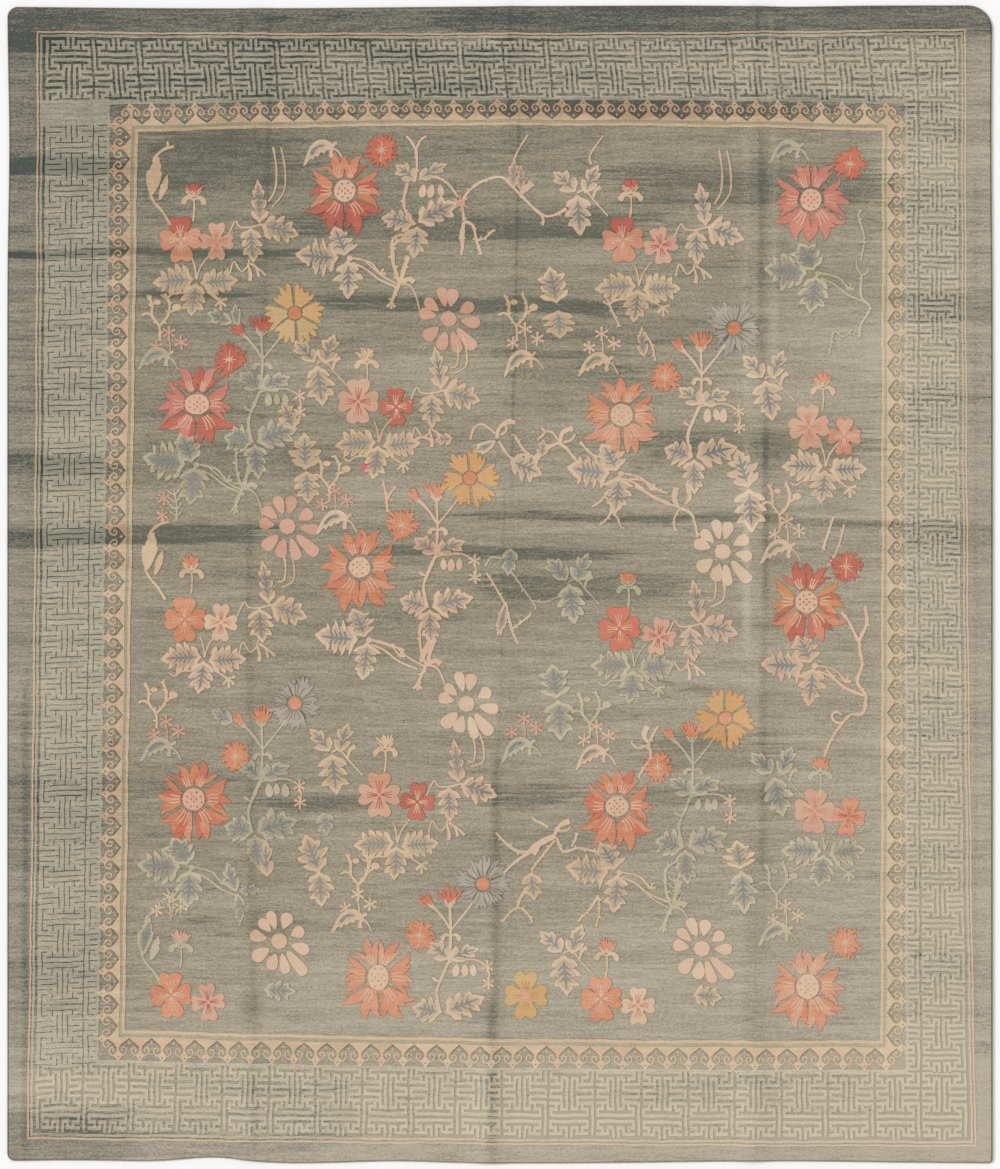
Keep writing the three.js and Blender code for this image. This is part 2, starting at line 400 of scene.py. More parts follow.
def add_streaks(tree, plot, streak_across, streak_along, x, tone):
    """The tone with each streak that reaches the plot. A streak past the selvedges has no ends."""
    for streak in STREAKS:
        left = streak.left if streak.left > -SELVEDGE else -FAR_OFF
        right = streak.right if streak.right < SELVEDGE else FAR_OFF
        swing = WAVER_SWING + 2 * abs(streak.slope)
        low = streak.low - streak.soft_low - swing
        high = streak.high + streak.soft_high + swing
        if not reaches(plot, left - END_SOFT - RAGGED_SWING, right + END_SOFT + RAGGED_SWING, low, high):
            continue
        level = streak_along
        if streak.slope:
            level = reckon(tree, "MULTIPLY_ADD", x, -streak.slope * MM, streak_along)
        soft = (streak.soft_low, streak.soft_high)
        mask = between(tree, level, streak.low, streak.high, soft, swing, (plot.low, plot.high), 1.0)
        soft = (END_SOFT, END_SOFT)
        mask = between(tree, streak_across, left, right, soft, RAGGED_SWING, (plot.left, plot.right), mask)
        tone = reckon(tree, "MULTIPLY_ADD", mask, streak.strength, tone)
    return tone


def add_crease_shades(tree, plot, waver, x, y, tone):
    """The tone with each band of painted crease light and shade that reaches the plot."""
    for crease_shade in CREASE_SHADES:
        swing = WAVER_SWING + 2 * SELVEDGE * abs(crease_shade.lean)
        left = crease_shade.across - crease_shade.spread - swing
        right = crease_shade.across + crease_shade.spread + swing
        if not reaches(plot, left, right, crease_shade.low - END_SOFT, crease_shade.high + END_SOFT):
            continue
        middle = reckon(tree, "MULTIPLY_ADD", waver, CREASE_SHADE_WAVER, x)
        if crease_shade.lean:
            middle = reckon(tree, "MULTIPLY_ADD", y, -crease_shade.lean, middle)
        half = crease_shade.spread / 2
        span = (plot.left, plot.right)
        mask = between(tree, middle, crease_shade.across - half, crease_shade.across + half, (half, half), swing, span, 1.0)
        soft = (END_SOFT, END_SOFT)
        mask = between(tree, y, crease_shade.low, crease_shade.high, soft, 0, (plot.low, plot.high), mask)
        tone = reckon(tree, "MULTIPLY_ADD", mask, crease_shade.strength, tone)
    return tone


def add_stains(tree, plot, stains, place, ripple, tone):
    """The tone with each stain that reaches the plot, full in its middle and none outside."""
    for stain in stains:
        side = stain.radius + WAVER_SWING
        if not reaches(plot, stain.x - side, stain.x + side, stain.y - side, stain.y + side):
            continue
        node = tree.nodes.new("ShaderNodeVectorMath")
        node.operation = "DISTANCE"
        tree.links.new(place.outputs["Object"], node.inputs[0])
        node.inputs[1].default_value = (stain.x * MM, stain.y * MM, PILE_TOP * MM)
        away = reckon(tree, "MULTIPLY_ADD", ripple, STAIN_RIPPLE, node.outputs["Value"])
        stained = fade(tree, away, stain.radius * MM, stain.radius * 0.3 * MM)
        tone = reckon(tree, "MULTIPLY_ADD", stained, stain.strength, tone)
    return tone


def abrash_and_crease_shade(plot):
    """The dye's tone with painted crease light and shade, the rows of knots and the spilt pink on one plot.
    """
    tree = bpy.data.node_groups.new("abrash_and_crease_shade", "ShaderNodeTree")
    for name in ("Tone", "Knots", "Pink"):
        tree.interface.new_socket(name, in_out="OUTPUT", socket_type="NodeSocketFloat")
    place = tree.nodes.new("ShaderNodeTexCoord")
    axes = tree.nodes.new("ShaderNodeSeparateXYZ")
    tree.links.new(place.outputs["Object"], axes.inputs[0])
    x = axes.outputs[0]
    y = axes.outputs[1]
    waver = stretched_noise(tree, x, y, 2.5, 3.0, 3.1, 3.0)
    ripple = stretched_noise(tree, x, y, 14.0, 40.0, 5.1, 2.0)
    ragged = stretched_noise(tree, x, y, 3.0, 130.0, 7.7, 1.0)
    streak_along = reckon(tree, "MULTIPLY_ADD", waver, WAVER_ALONG, y)
    streak_along = reckon(tree, "MULTIPLY_ADD", ripple, RIPPLE_ALONG, streak_along)
    streak_across = reckon(tree, "MULTIPLY_ADD", ragged, RAGGED_ACROSS, x)
    tone = MIDDLE_TONE
    for band in DYE_BANDS:
        noise = stretched_noise(tree, x, y, band.across, band.along, band.layer, band.detail)
        tone = reckon(tree, "MULTIPLY_ADD", noise, band.strength, tone)
    tone = reckon(tree, "MULTIPLY_ADD", y, TONE_PER_METRE_UP, tone)
    tone = reckon(tree, "MULTIPLY_ADD", x, TONE_PER_METRE_RIGHT, tone)
    tone = add_streaks(tree, plot, streak_across, streak_along, x, tone)
    # Painted light and shade along the creases.
    tone = add_crease_shades(tree, plot, waver, x, y, tone)
    for line in DRAWN_LINES:
        contour = stretched_noise(tree, x, y, line.across, line.along, line.layer, 3.0)
        drawn = fade(tree, reckon(tree, "ABSOLUTE", contour), line.width, 0.0)
        shown = stretched_noise(tree, x, y, 2.2, 4.0, line.layer + 1, 1.0)
        tone = reckon(tree, "MULTIPLY_ADD", fade(tree, shown, -0.02, 0.08, 0.0, drawn), line.strength, tone)
    tone = add_stains(tree, plot, STAINS, place, ripple, tone)
    tufts = stretched_noise(tree, x, y, 150.0, 230.0, 0.9, 2.0)
    tone = reckon(tree, "MULTIPLY_ADD", tufts, TUFT_TONE, tone)
    knots = stretched_noise(tree, x, y, 260.0, 330.0, 0.4, 1.0)
    pink = add_stains(tree, plot, PINK_STAINS, place, ripple, 0.0)
    result = tree.nodes.new("NodeGroupOutput")
    linked(tree, tone, result.inputs["Tone"])
    linked(tree, knots, result.inputs["Knots"])
    linked(tree, pink, result.inputs["Pink"])
    return tree


PLOT_ABRASH_AND_CREASE_SHADE = [abrash_and_crease_shade(plot_of(index)) for index in range(PLOT_COLUMNS * PLOT_ROWS)]


def dyed(colour):
    """The linear colour of a yarn named by its red, green and blue out of 255."""
    linear = []
    for part in colour:
        part = part / 255
        linear.append(part / 12.92 if part <= 0.04045 else ((part + 0.055) / 1.055) ** 2.4)
    return (*linear, 1.0)


# A wool's last number is the share of its colour left on the carved walls under their painted shade.
Wool = namedtuple("Wool", "deep middle pale swing wall", defaults=(1.0, 0.6))
KNOT_TONE = 0.35
KNOT_DEPTH = 0.0016
SPILT_PINK = (216, 92, 116)


def wool_material(name, index):
    """Wool of one dye on one plot of the carpet, made once."""
    full_name = f"{name}_{index}"
    if full_name in bpy.data.materials:
        return bpy.data.materials[full_name]
    wool = WOOLS[name]
    material = bpy.data.materials.new(full_name)
    material.use_nodes = True
    tree = material.node_tree
    shader = tree.nodes["Principled BSDF"]
    group = tree.nodes.new("ShaderNodeGroup")
    group.node_tree = PLOT_ABRASH_AND_CREASE_SHADE[index]
    dye = tree.nodes.new("ShaderNodeAttribute")
    dye.attribute_name = "dye"
    level = reckon(tree, "SUBTRACT", group.outputs["Tone"], 0.5)
    level = reckon(tree, "MULTIPLY_ADD", level, wool.swing, 0.5)
    level = reckon(tree, "ADD", level, dye.outputs["Fac"])
    level = reckon(tree, "MULTIPLY_ADD", group.outputs["Knots"], KNOT_TONE, level)
    ramp = tree.nodes.new("ShaderNodeValToRGB")
    ramp.color_ramp.elements.new(0.5)
    for element, colour in zip(ramp.color_ramp.elements, (wool.deep, wool.middle, wool.pale)):
        element.color = dyed(colour)
    tree.links.new(level, ramp.inputs["Fac"])
    # Painted shade on the carved walls: faces turned away from straight up are darkened to the wool's wall
    # shade.
    normal = tree.nodes.new("ShaderNodeNewGeometry")
    upward = tree.nodes.new("ShaderNodeSeparateXYZ")
    tree.links.new(normal.outputs["True Normal"], upward.inputs[0])
    painted_wall_shade = fade(tree, upward.outputs[2], 0.55, 0.97, wool.wall, 1.0)
    shade = tree.nodes.new("ShaderNodeVectorMath")
    shade.operation = "SCALE"
    spilt = tree.nodes.new("ShaderNodeMixRGB")
    spilt.inputs["Color2"].default_value = dyed(SPILT_PINK)
    tree.links.new(ramp.outputs["Color"], spilt.inputs["Color1"])
    tree.links.new(group.outputs["Pink"], spilt.inputs["Fac"])
    tree.links.new(spilt.outputs["Color"], shade.inputs[0])
    tree.links.new(painted_wall_shade, shade.inputs["Scale"])
    tree.links.new(shade.outputs[0], shader.inputs["Base Color"])
    bump = tree.nodes.new("ShaderNodeBump")
    bump.inputs["Strength"].default_value = 0.5
    bump.inputs["Distance"].default_value = KNOT_DEPTH
    tree.links.new(group.outputs["Knots"], bump.inputs["Height"])
    tree.links.new(bump.outputs["Normal"], shader.inputs["Normal"])
    shader.inputs["Roughness"].default_value = 0.92
    shader.inputs["Specular IOR Level"].default_value = 0.12
    shader.inputs["Sheen Weight"].default_value = 0.12
    shader.inputs["Sheen Roughness"].default_value = 0.5
    return material


WOOLS = {
    "field_green": Wool((96, 97, 85), (149, 141, 121), (184, 175, 155)),
    "outer_slate": Wool((78, 82, 78), (142, 136, 119), (182, 172, 153)),
    "fret_dark": Wool((62, 67, 61), (124, 120, 105), (176, 165, 142), 1.5),
    "fret_sage": Wool((130, 129, 112), (170, 163, 143), (202, 190, 167)),
    "frieze_slate": Wool((84, 84, 75), (142, 137, 119), (178, 168, 146), 1.1),
    "apricot": Wool((168, 140, 112), (200, 173, 143), (215, 190, 160), 0.9),
    "olive_beige": Wool((130, 127, 102), (159, 154, 127), (188, 180, 153), 0.9),
}


# ---- Laying pieces ----------------------------------------------------------------------------------------
# Every piece of pile starts flat, in plan. It's cut along the creases, lifted onto the carpet's form, given
# its wool plot by plot and joined to the carpet's body.
def lay(mesh, base):
    """Cuts a plan mesh where the creases bend it and lifts it onto the carpet's form."""
    many_sided = [face for face in mesh.faces if len(face.verts) > 4]
    bmesh.ops.triangulate(mesh, faces=many_sided, ngon_method="EAR_CLIP")
    for crease in CREASES:
        for step in range(-3, 4):
            cut = Vector((crease.across.middle + step * 26, 0, 0))
            everything = mesh.verts[:] + mesh.edges[:] + mesh.faces[:]
            bmesh.ops.bisect_plane(mesh, geom=everything, plane_co=cut, plane_no=(1, 0, 0), dist=0.01)
    for vert in mesh.verts:
        vert.co.z += base + rise(vert.co.x, vert.co.y)
        vert.co *= MM
    bmesh.ops.recalc_face_normals(mesh, faces=mesh.faces[:])


def make_piece(name, mesh, wool):
    """Makes the object, with its wool, and says that it rides on the carpet."""
    data = bpy.data.meshes.new(name)
    mesh.to_mesh(data)
    mesh.free()
    plots = [plot_index(polygon.center.x, polygon.center.y) for polygon in data.polygons]
    used = sorted(set(plots))
    for index in used:
        data.materials.append(wool_material(wool, index))
    data.polygons.foreach_set("material_index", [used.index(index) for index in plots])
    piece = bpy.data.objects.new(name, data)
    bpy.context.scene.collection.objects.link(piece)
    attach(piece, "root")
    return piece


# ---- Ground -----------------------------------------------------------------------------------------------
# The field's wool is one closed slab under everything else, from the floor to the top of the pile. It stands
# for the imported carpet, and its upper edge is rolled over where the yarn holds it.
GROUND_COLUMNS = 76
GROUND_ROWS = 120
EDGE_STEPS = [0, 3, 8, 20, 36, 70]


def edge_first(length, count):
    """Positions from one side of the slab to the other, close together at both sides."""
    inner = length / 2 - EDGE_STEPS[-1]
    middle = [inner * (2 * step / count - 1) for step in range(1, count)]
    return ([step - length / 2 for step in EDGE_STEPS] + middle
            + [length / 2 - step for step in reversed(EDGE_STEPS)])


def ground():
    """The closed slab, its upper edge rolled over a little."""
    columns = edge_first(SLAB_WIDTH, GROUND_COLUMNS)
    rows = edge_first(SLAB_LENGTH, GROUND_ROWS)
    mesh = bmesh.new()
    grid = bmesh.ops.create_grid(mesh, x_segments=len(columns) - 1, y_segments=len(rows) - 1, size=1)["verts"]
    for index, vert in enumerate(grid):
        x = columns[index % len(columns)]
        y = rows[index // len(columns)]
        edge = min(SLAB_WIDTH / 2 - abs(x), SLAB_LENGTH / 2 - abs(y))
        vert.co.x, vert.co.y = in_plan(x, y)
        vert.co.z = -1.5 * max(0, 1 - edge / 6) ** 2
    sides = bmesh.ops.extrude_face_region(mesh, geom=mesh.faces[:])
    for item in sides["geom"]:
        if isinstance(item, bmesh.types.BMVert):
            item.co.z = -PILE_TOP
    lay(mesh, PILE_TOP)
    return mesh


carpet_ground = make_piece("carpet_ground", ground(), "field_green")
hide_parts("rug")


# ---- Border bands -----------------------------------------------------------------------------------------
# Flat rings of pile between the carpet's edge and the field, each a little proud of the one before, drawn by
# how far in they lie: 0 is the guard line and 1 the field's frame; -1 is the carpet's own edge.
Band = namedtuple("Band", "name wool outer inner proud steps")
BANDS = [
    Band("outer_border", "outer_slate", -1.0, 0.0, 0.5, 5),
    Band("fret_ground", "fret_dark", 0.0, 0.71, 0.5, 6),
    Band("guard_line", "apricot", -0.014, 0.016, 1.6, 1),
    Band("sage_line", "fret_sage", 0.030, 0.055, 1.4, 1),
    Band("light_line", "fret_sage", 0.700, 0.725, 1.5, 1),
    Band("frieze_ground", "frieze_slate", 0.715, 0.945, 0.7, 3),
    Band("stripe", "olive_beige", 0.938, 0.974, 1.2, 1),
    Band("inner_line", "apricot", 0.970, 1.000, 1.7, 1),
]
RING_STEP = 26
BAND_DEPTH = 3


def on_ring(side, u, inward):
    """The place of a point on a ring: u runs from -1 to 1 along one of the four sides."""
    depth = max(0, inward)
    half_width = GUARD.half_width - BAND_ACROSS * depth
    half_length = GUARD.half_length - BAND_ALONG * depth
    turned = {"top": (u, 1), "left": (-1, u), "bottom": (-u, -1), "right": (1, -u)}[side]
    x, y = settle(turned[0] * half_width, turned[1] * half_length)
    if inward < 0:
        edge_x, edge_y = in_plan(turned[0] * SLAB_WIDTH / 2, turned[1] * SLAB_LENGTH / 2)
        x += (edge_x - x) * -inward
        y += (edge_y - y) * -inward
    return x, y


def ring(outer, inner, proud, steps):
    """A closed flat ring with mitred corners."""
    mesh = bmesh.new()
    for side in ("top", "left", "bottom", "right"):
        length = 2 * (GUARD.half_width if side in ("top", "bottom") else GUARD.half_length)
        count = round(length / RING_STEP)
        grid = bmesh.ops.create_grid(mesh, x_segments=count, y_segments=steps, size=1)["verts"]
        for index, vert in enumerate(grid):
            u = 2 * (index % (count + 1)) / count - 1
            inward = outer + (inner - outer) * (index // (count + 1)) / steps
            vert.co.x, vert.co.y = on_ring(side, u, inward)
            vert.co.z = proud
    bmesh.ops.remove_doubles(mesh, verts=mesh.verts[:], dist=0.05)
    sides = bmesh.ops.extrude_face_region(mesh, geom=mesh.faces[:])
    for item in sides["geom"]:
        if isinstance(item, bmesh.types.BMVert):
            item.co.z -= BAND_DEPTH
    lay(mesh, PILE_TOP)
    return mesh


for band in BANDS:
    make_piece(band.name, ring(band.outer, band.inner, band.proud, band.steps), band.wool)


# ---- Fret -------------------------------------------------------------------------------------------------
# Sage bars stand up between the dark lines of an interlocking key pattern. The dark lines of one repeat are
# charted on knots nine across and eight along: rows give spans across, and columns spans along.
FRET_ACROSS = 9
FRET_ALONG = 8
DARK_SHARE = 0.44
ROW_SPANS = {1: [(0, 1), (7, 8)], 2: [(1, 7)], 3: [(0, 8)], 4: [(1, 7)], 5: [(0, 1), (7, 8)],
             6: [(6, 9), (0, 2)], 7: [(0, 3), (5, 7)], 0: [(6, 9), (0, 2)]}
COLUMN_SPANS = {0: [(1, 5)], 8: [(0, 8)], 2: [(1, 2), (4, 5)], 6: [(1, 2), (4, 5)],
                4: [(4, 8), (0, 2)], 3: [(5, 8), (0, 1)], 5: [(5, 8), (0, 1)]}


def covers(spans, step):
    """Whether a dark span runs over the stretch that starts at a step."""
    return any(start <= step < end for start, end in spans)


def repeat_row(i, j):
    """Whether the repeat has a dark line from knot i to i + 1 in row j."""
    return covers(ROW_SPANS.get(j % FRET_ALONG, []), i % FRET_ACROSS)


def repeat_column(i, j):
    """Whether the repeat has a dark line from knot j to j + 1 in column i."""
    return covers(COLUMN_SPANS.get(i % FRET_ACROSS, []), j % FRET_ALONG)


def end_row(i, j):
    """The dark rows of the two end bands, where frames close the repeat."""
    i = i % FRET_ACROSS
    if j == 0:
        return not 3 <= i < 5
    if j in (9, 10):
        return covers({9: [(0, 1), (7, 8)], 10: [(1, 7)]}[j], i)
    if j == 11:
        return i < 8
    return covers(ROW_SPANS.get(j % FRET_ALONG, []), i)


def end_column(i, j):
    """The dark columns of the two end bands."""
    i = i % FRET_ACROSS
    if i == 8:
        return True
    if i == 0:
        return j < 5 or j >= 9
    if i in (3, 5):
        return j == 0 or 5 <= j < 9
    if i == 4:
        return j < 2 or 4 <= j < 10
    if i in (2, 6):
        return j in (1, 4, 9)
    return False


def bars(columns, rows, first_column, row_dark, column_dark, to_plan, share=DARK_SHARE):
    """The light bars of a stretch of fret: a grid of lines and gaps with the dark cells taken out."""
    mesh = bmesh.new()
    wide = 2 * columns + 1
    grid = bmesh.ops.create_grid(mesh, x_segments=wide, y_segments=2 * rows + 1, size=1)["verts"]
    place_of = {vert: index for index, vert in enumerate(grid)}
    dark = []
    for face in mesh.faces:
        corner = min(place_of[vert] for vert in face.verts)
        a = corner % (wide + 1)
        b = corner // (wide + 1)
        i = first_column + a // 2
        j = b // 2
        on_column = a % 2 == 0
        on_row = b % 2 == 0
        if on_column and on_row:
            inked = (row_dark(i, j) or row_dark(i - 1, j) or column_dark(i, j) or column_dark(i, j - 1))
        elif on_row:
            inked = row_dark(i, j)
        elif on_column:
            inked = column_dark(i, j)
        else:
            inked = False
        if inked:
            dark.append(face)
    for index, vert in enumerate(grid):
        a = index % (wide + 1)
        b = index // (wide + 1)
        column = a // 2 + (share / 2 if a % 2 else -share / 2)
        row = b // 2 + (share / 2 if b % 2 else -share / 2)
        vert.co.x, vert.co.y = to_plan(column, row)
        vert.co.z = FRET_PROUD
    bmesh.ops.delete(mesh, geom=dark, context="FACES")
    sides = bmesh.ops.extrude_face_region(mesh, geom=mesh.faces[:])
    for item in sides["geom"]:
        if isinstance(item, bmesh.types.BMVert):
            item.co.z -= 2
    return mesh


FRET_PROUD = 1.8
FRET_OUT = 0.075
FRET_IN = 0.70
END_TILES = 10
SIDE_TILES = 22
PLAIN_BLOCK = 54
END_PITCH = (GUARD.half_width - BAND_ACROSS * FRET_OUT) / (END_TILES * FRET_ACROSS)
END_ROWS = 11
END_ROW_PITCH = BAND_ALONG * (FRET_IN - FRET_OUT) / (END_ROWS - 0.4)
SIDE_COLUMNS = 12
SIDE_PITCH = BAND_ACROSS * (FRET_IN - FRET_OUT) / (SIDE_COLUMNS - 0.5)
SIDE_ROW_PITCH = 2 * (GUARD.half_length - BAND_ALONG * FRET_IN) / (SIDE_TILES * FRET_ALONG)


passing = bpy.data.meshes.new("passing")


def joined(meshes):
    """One mesh that holds several."""
    whole = bmesh.new()
    for mesh in meshes:
        mesh.to_mesh(passing)
        mesh.free()
        whole.from_mesh(passing)
    return whole


end_bands = []
for end in (1, -1):
    for hand in (-1, 1):
        def end_plan(column, row, end=end, hand=hand):
            x = GUARD.half_width - BAND_ACROSS * FRET_OUT - column * END_PITCH
            y = GUARD.half_length - BAND_ALONG * FRET_OUT - min(row, END_ROWS - 0.4) * END_ROW_PITCH
            return settle(hand * max(x, 0), end * y)
        end_bands.append(bars(END_TILES * FRET_ACROSS, END_ROWS, -1, end_row, end_column, end_plan))
fret_ends = joined(end_bands)
lay(fret_ends, PILE_TOP)
make_piece("fret_ends", fret_ends, "fret_sage")

side_bands = []
for hand, share in ((-1, 0.20), (1, DARK_SHARE)):
    over = PLAIN_BLOCK if hand == -1 else 0
    def side_plan(column, row, hand=hand, over=over):
        x = GUARD.half_width - BAND_ACROSS * FRET_OUT - column * SIDE_PITCH
        rows = SIDE_TILES * FRET_ALONG
        y = (row - rows / 2) * (SIDE_ROW_PITCH - (over + 5) / rows) - over / 2
        return settle(hand * x, y)
    rows = SIDE_TILES * FRET_ALONG
    side_bands.append(bars(SIDE_COLUMNS, rows, -1, repeat_row, repeat_column, side_plan, share))


def block_plan(column, row):
    """The plain block that fills the left band's upper end."""
    x = GUARD.half_width - BAND_ACROSS * (0.05 + 0.64 * column / 6)
    y = GUARD.half_length - BAND_ALONG * FRET_IN + 4 - (PLAIN_BLOCK + 12) * row / 2
    return settle(-x, y)


block = bars(6, 2, 0, lambda i, j: False, lambda i, j: False, block_plan)
bmesh.ops.translate(block, vec=(0, 0, -0.6), verts=block.verts)
side_bands.append(block)
fret_sides = joined(side_bands)
lay(fret_sides, PILE_TOP)
make_piece("fret_sides", fret_sides, "fret_sage")


# ---- Raised motifs ----------------------------------------------------------------------------------------
# Every motif is islands of pile that stand up from the ground, a closed island for each patch of colour. The
# islands of one wool are kept in one plan mesh. Their walls lean out a little, where the pile is carved.
PROUD = 1.8
SKIRT = 1.6
DETAIL_LIFT = 0.35
chance = random.Random(11)
wool_plans = {}
turns = itertools.cycle([0.018 * step for step in range(17)])

Spot = namedtuple("Spot", "x y turn size flip", defaults=(0, 1, 1))


def laid(spot, points):
    """Points of a motif's own plan, turned, sized, flipped and moved to its spot."""
    turn = math.radians(spot.turn)
    reach = spot.size
    placed = []
    for x, y in points:
        x *= spot.flip
        placed.append((spot.x + reach * (x * math.cos(turn) - y * math.sin(turn)),
                       spot.y + reach * (x * math.sin(turn) + y * math.cos(turn))))
    return placed


def within(spot, x, y, turn=0, size=1, flip=1):
    """The spot of a part of a motif, named by its place in the motif's own plan."""
    (place_x, place_y), = laid(spot, [(x, y)])
    return Spot(place_x, place_y, spot.turn + turn * spot.flip, spot.size * size, spot.flip * flip)


def polar(radius, degrees):
    """The point at a distance and bearing, with bearings counted round from straight up."""
    angle = math.radians(degrees)
    return -radius * math.sin(angle), radius * math.cos(angle)


def rounded_through(points, steps=3, closed=False):
    """A smooth line through points."""
    count = len(points)
    line = []
    for index in range(count if closed else count - 1):
        if closed:
            a, b, c, d = (Vector(points[(index + step) % count]) for step in (-1, 0, 1, 2))
        else:
            a, b, c, d = (Vector(points[min(count - 1, max(0, index + step))]) for step in (-1, 0, 1, 2))
        for step in range(steps):
            t = step / steps
            line.append(0.5 * (2 * b + (c - a) * t + (2 * a - 5 * b + 4 * c - d) * t * t
                               + (3 * b - a - 3 * c + d) * t * t * t))
    if not closed:
        line.append(Vector(points[-1]))
    return [(point.x, point.y) for point in line]


def patch(wool, outline, lift=0.0):
    """Adds one island of pile with the given outline to a wool's plan mesh."""
    island = bmesh.new()
    dye = island.verts.layers.float.new("dye")
    tint = chance.uniform(-0.14, 0.14)
    area = sum(a[0] * b[1] - b[0] * a[1] for a, b in zip(outline, outline[1:] + outline[:1]))
    outward = 1 if area > 0 else -1
    foot = bmesh.ops.create_circle(island, segments=len(outline), cap_ends=True)["verts"]
    for vert, place in zip(foot, outline):
        vert.co = (*place, PROUD + lift + next(turns))
    bmesh.ops.extrude_face_region(island, geom=island.faces[:])
    for index, vert in enumerate(foot):
        before = Vector(outline[index - 1])
        after = Vector(outline[(index + 1) % len(outline)])
        along = (after - before).normalized() * outward
        vert.co = (outline[index][0] + along.y * SKIRT, outline[index][1] - along.x * SKIRT, -0.4)
    for vert in island.verts:
        vert[dye] = tint
    if wool not in wool_plans:
        wool_plans[wool] = bmesh.new()
    island.to_mesh(passing)
    island.free()
    wool_plans[wool].from_mesh(passing)


def ribbon(wool, spot, points, start=4.0, end=None, lift=0.0, steps=4):
    """A stem or line of even or tapering width along a smooth path."""
    end = start if end is None else end
    line = laid(spot, rounded_through(points, steps))
    left = []
    right = []
    for index, place in enumerate(line):
        before = Vector(line[max(0, index - 1)])
        after = Vector(line[min(len(line) - 1, index + 1)])
        along = (after - before).normalized()
        half = (start + (end - start) * index / (len(line) - 1)) / 2 * chance.uniform(0.85, 1.4)
        left.append((place[0] - along.y * half, place[1] + along.x * half))
        right.append((place[0] + along.y * half, place[1] - along.x * half))
    patch(wool, left + right[::-1], lift)


def twig(wool, spot, points, start=6.0, end=5.0, every=30.0, reach=11.0):
    """A stem with short thorns on alternate sides."""
    ribbon(wool, spot, points, start, end)
    line = [Vector(place) for place in rounded_through(points, 4)]
    gone = 0.6 * every
    hand = chance.choice((-1, 1))
    for before, after in zip(line, line[1:]):
        gone += (after - before).length
        if gone > every:
            gone = 0
            hand = -hand
            along = (after - before).normalized()
            out = Vector((-along.y, along.x)) * hand * reach * chance.uniform(0.7, 1.2)
            tip = after + out + along * reach * chance.uniform(0.2, 0.8)
            ribbon(wool, spot, [tuple(after), tuple(after + (tip - after) * 0.5 + along * 1.5), tuple(tip)],
                   start * 0.9, 3.5, 0, 2)


def blot(wool, spot, width, length, x=0, y=0, lift=0.0, sides=12, rough=0.0):
    """A round or oval island."""
    outline = []
    for step in range(sides):
        angle = 2 * math.pi * step / sides
        share = chance.uniform(1 - rough, 1 + rough) / 2
        outline.append((x + width * share * math.cos(angle), y + length * share * math.sin(angle)))
    patch(wool, laid(spot, outline), lift)


HEART = {"pale_green": "sage_heart", "tan": "tan_heart", "peach": "peach_heart"}


def leaf(spot, wool, length, width, lobes=3, bend=0.0, sharp=0.7, plain=False):
    """A lobed leaf that grows up from its stalk: a pale rim, a deeper heart and a feathered vein."""
    side = [(0.06, 0)]
    for lobe in range(lobes):
        start = 0.06 + 0.74 * lobe / lobes
        step = 0.74 / lobes
        full = (0.70 + 0.30 * math.sin(math.pi * (lobe + 0.7) / lobes)) * chance.uniform(0.84, 1.14)
        tip = start + step * (0.62 + 0.40 * sharp)
        side += [(0.38 * full, start + 0.02), (0.80 * full, start + (0.36 - 0.10 * sharp) * step),
                 ((1.04 + 0.08 * sharp) * full, tip), (0.76 * full, tip + 0.06 * step),
                 ((0.74 - 0.30 * sharp) * full, start + 0.98 * step)]
    side += [(0.42, 0.86), (0.22, 0.94), (0.07, 1.02)]
    layers = [(1.0, wool, 0)]
    if not plain:
        layers.append((0.72, HEART.get(wool, "leaf_heart"), DETAIL_LIFT))
    for share, dye_wool, lift in layers:
        outline = []
        for hand in (1, -1):
            for across, along in (side if hand == 1 else side[::-1]):
                wobble = chance.uniform(0.88, 1.12)
                reach = length * (0.5 + (along - 0.5) * (share if share == 1 else 0.78))
                outline.append((hand * across * share * wobble * width / 2 + bend * length * along * along,
                                reach))
        patch(dye_wool, laid(spot, rounded_through(outline, 2, closed=True)), lift)
    if not plain:
        feather(spot, "vein_blue", length, width, lobes, bend)


def feather(spot, wool, length, width, barbs, bend):
    """The vein: a central line with barbs that lean towards the leaf's tip."""
    side = [(0.045, 0.16)]
    for barb in range(barbs):
        t = 0.24 + 0.44 * barb / barbs
        step = 0.44 / barbs
        side += [(0.07, t), (0.39, t + 0.74 * step), (0.43, t + 1.08 * step), (0.09, t + 0.58 * step)]
    side += [(0.08, 0.72), (0.03, 0.86)]
    outline = []
    for hand in (1, -1):
        for across, along in (side if hand == 1 else side[::-1]):
            wobble = chance.uniform(0.75, 1.2)
            out = hand * across * wobble * width / 2 + bend * length * along * along
            outline.append((out, along * length))
    patch(wool, laid(spot, outline), 2.2 * DETAIL_LIFT)


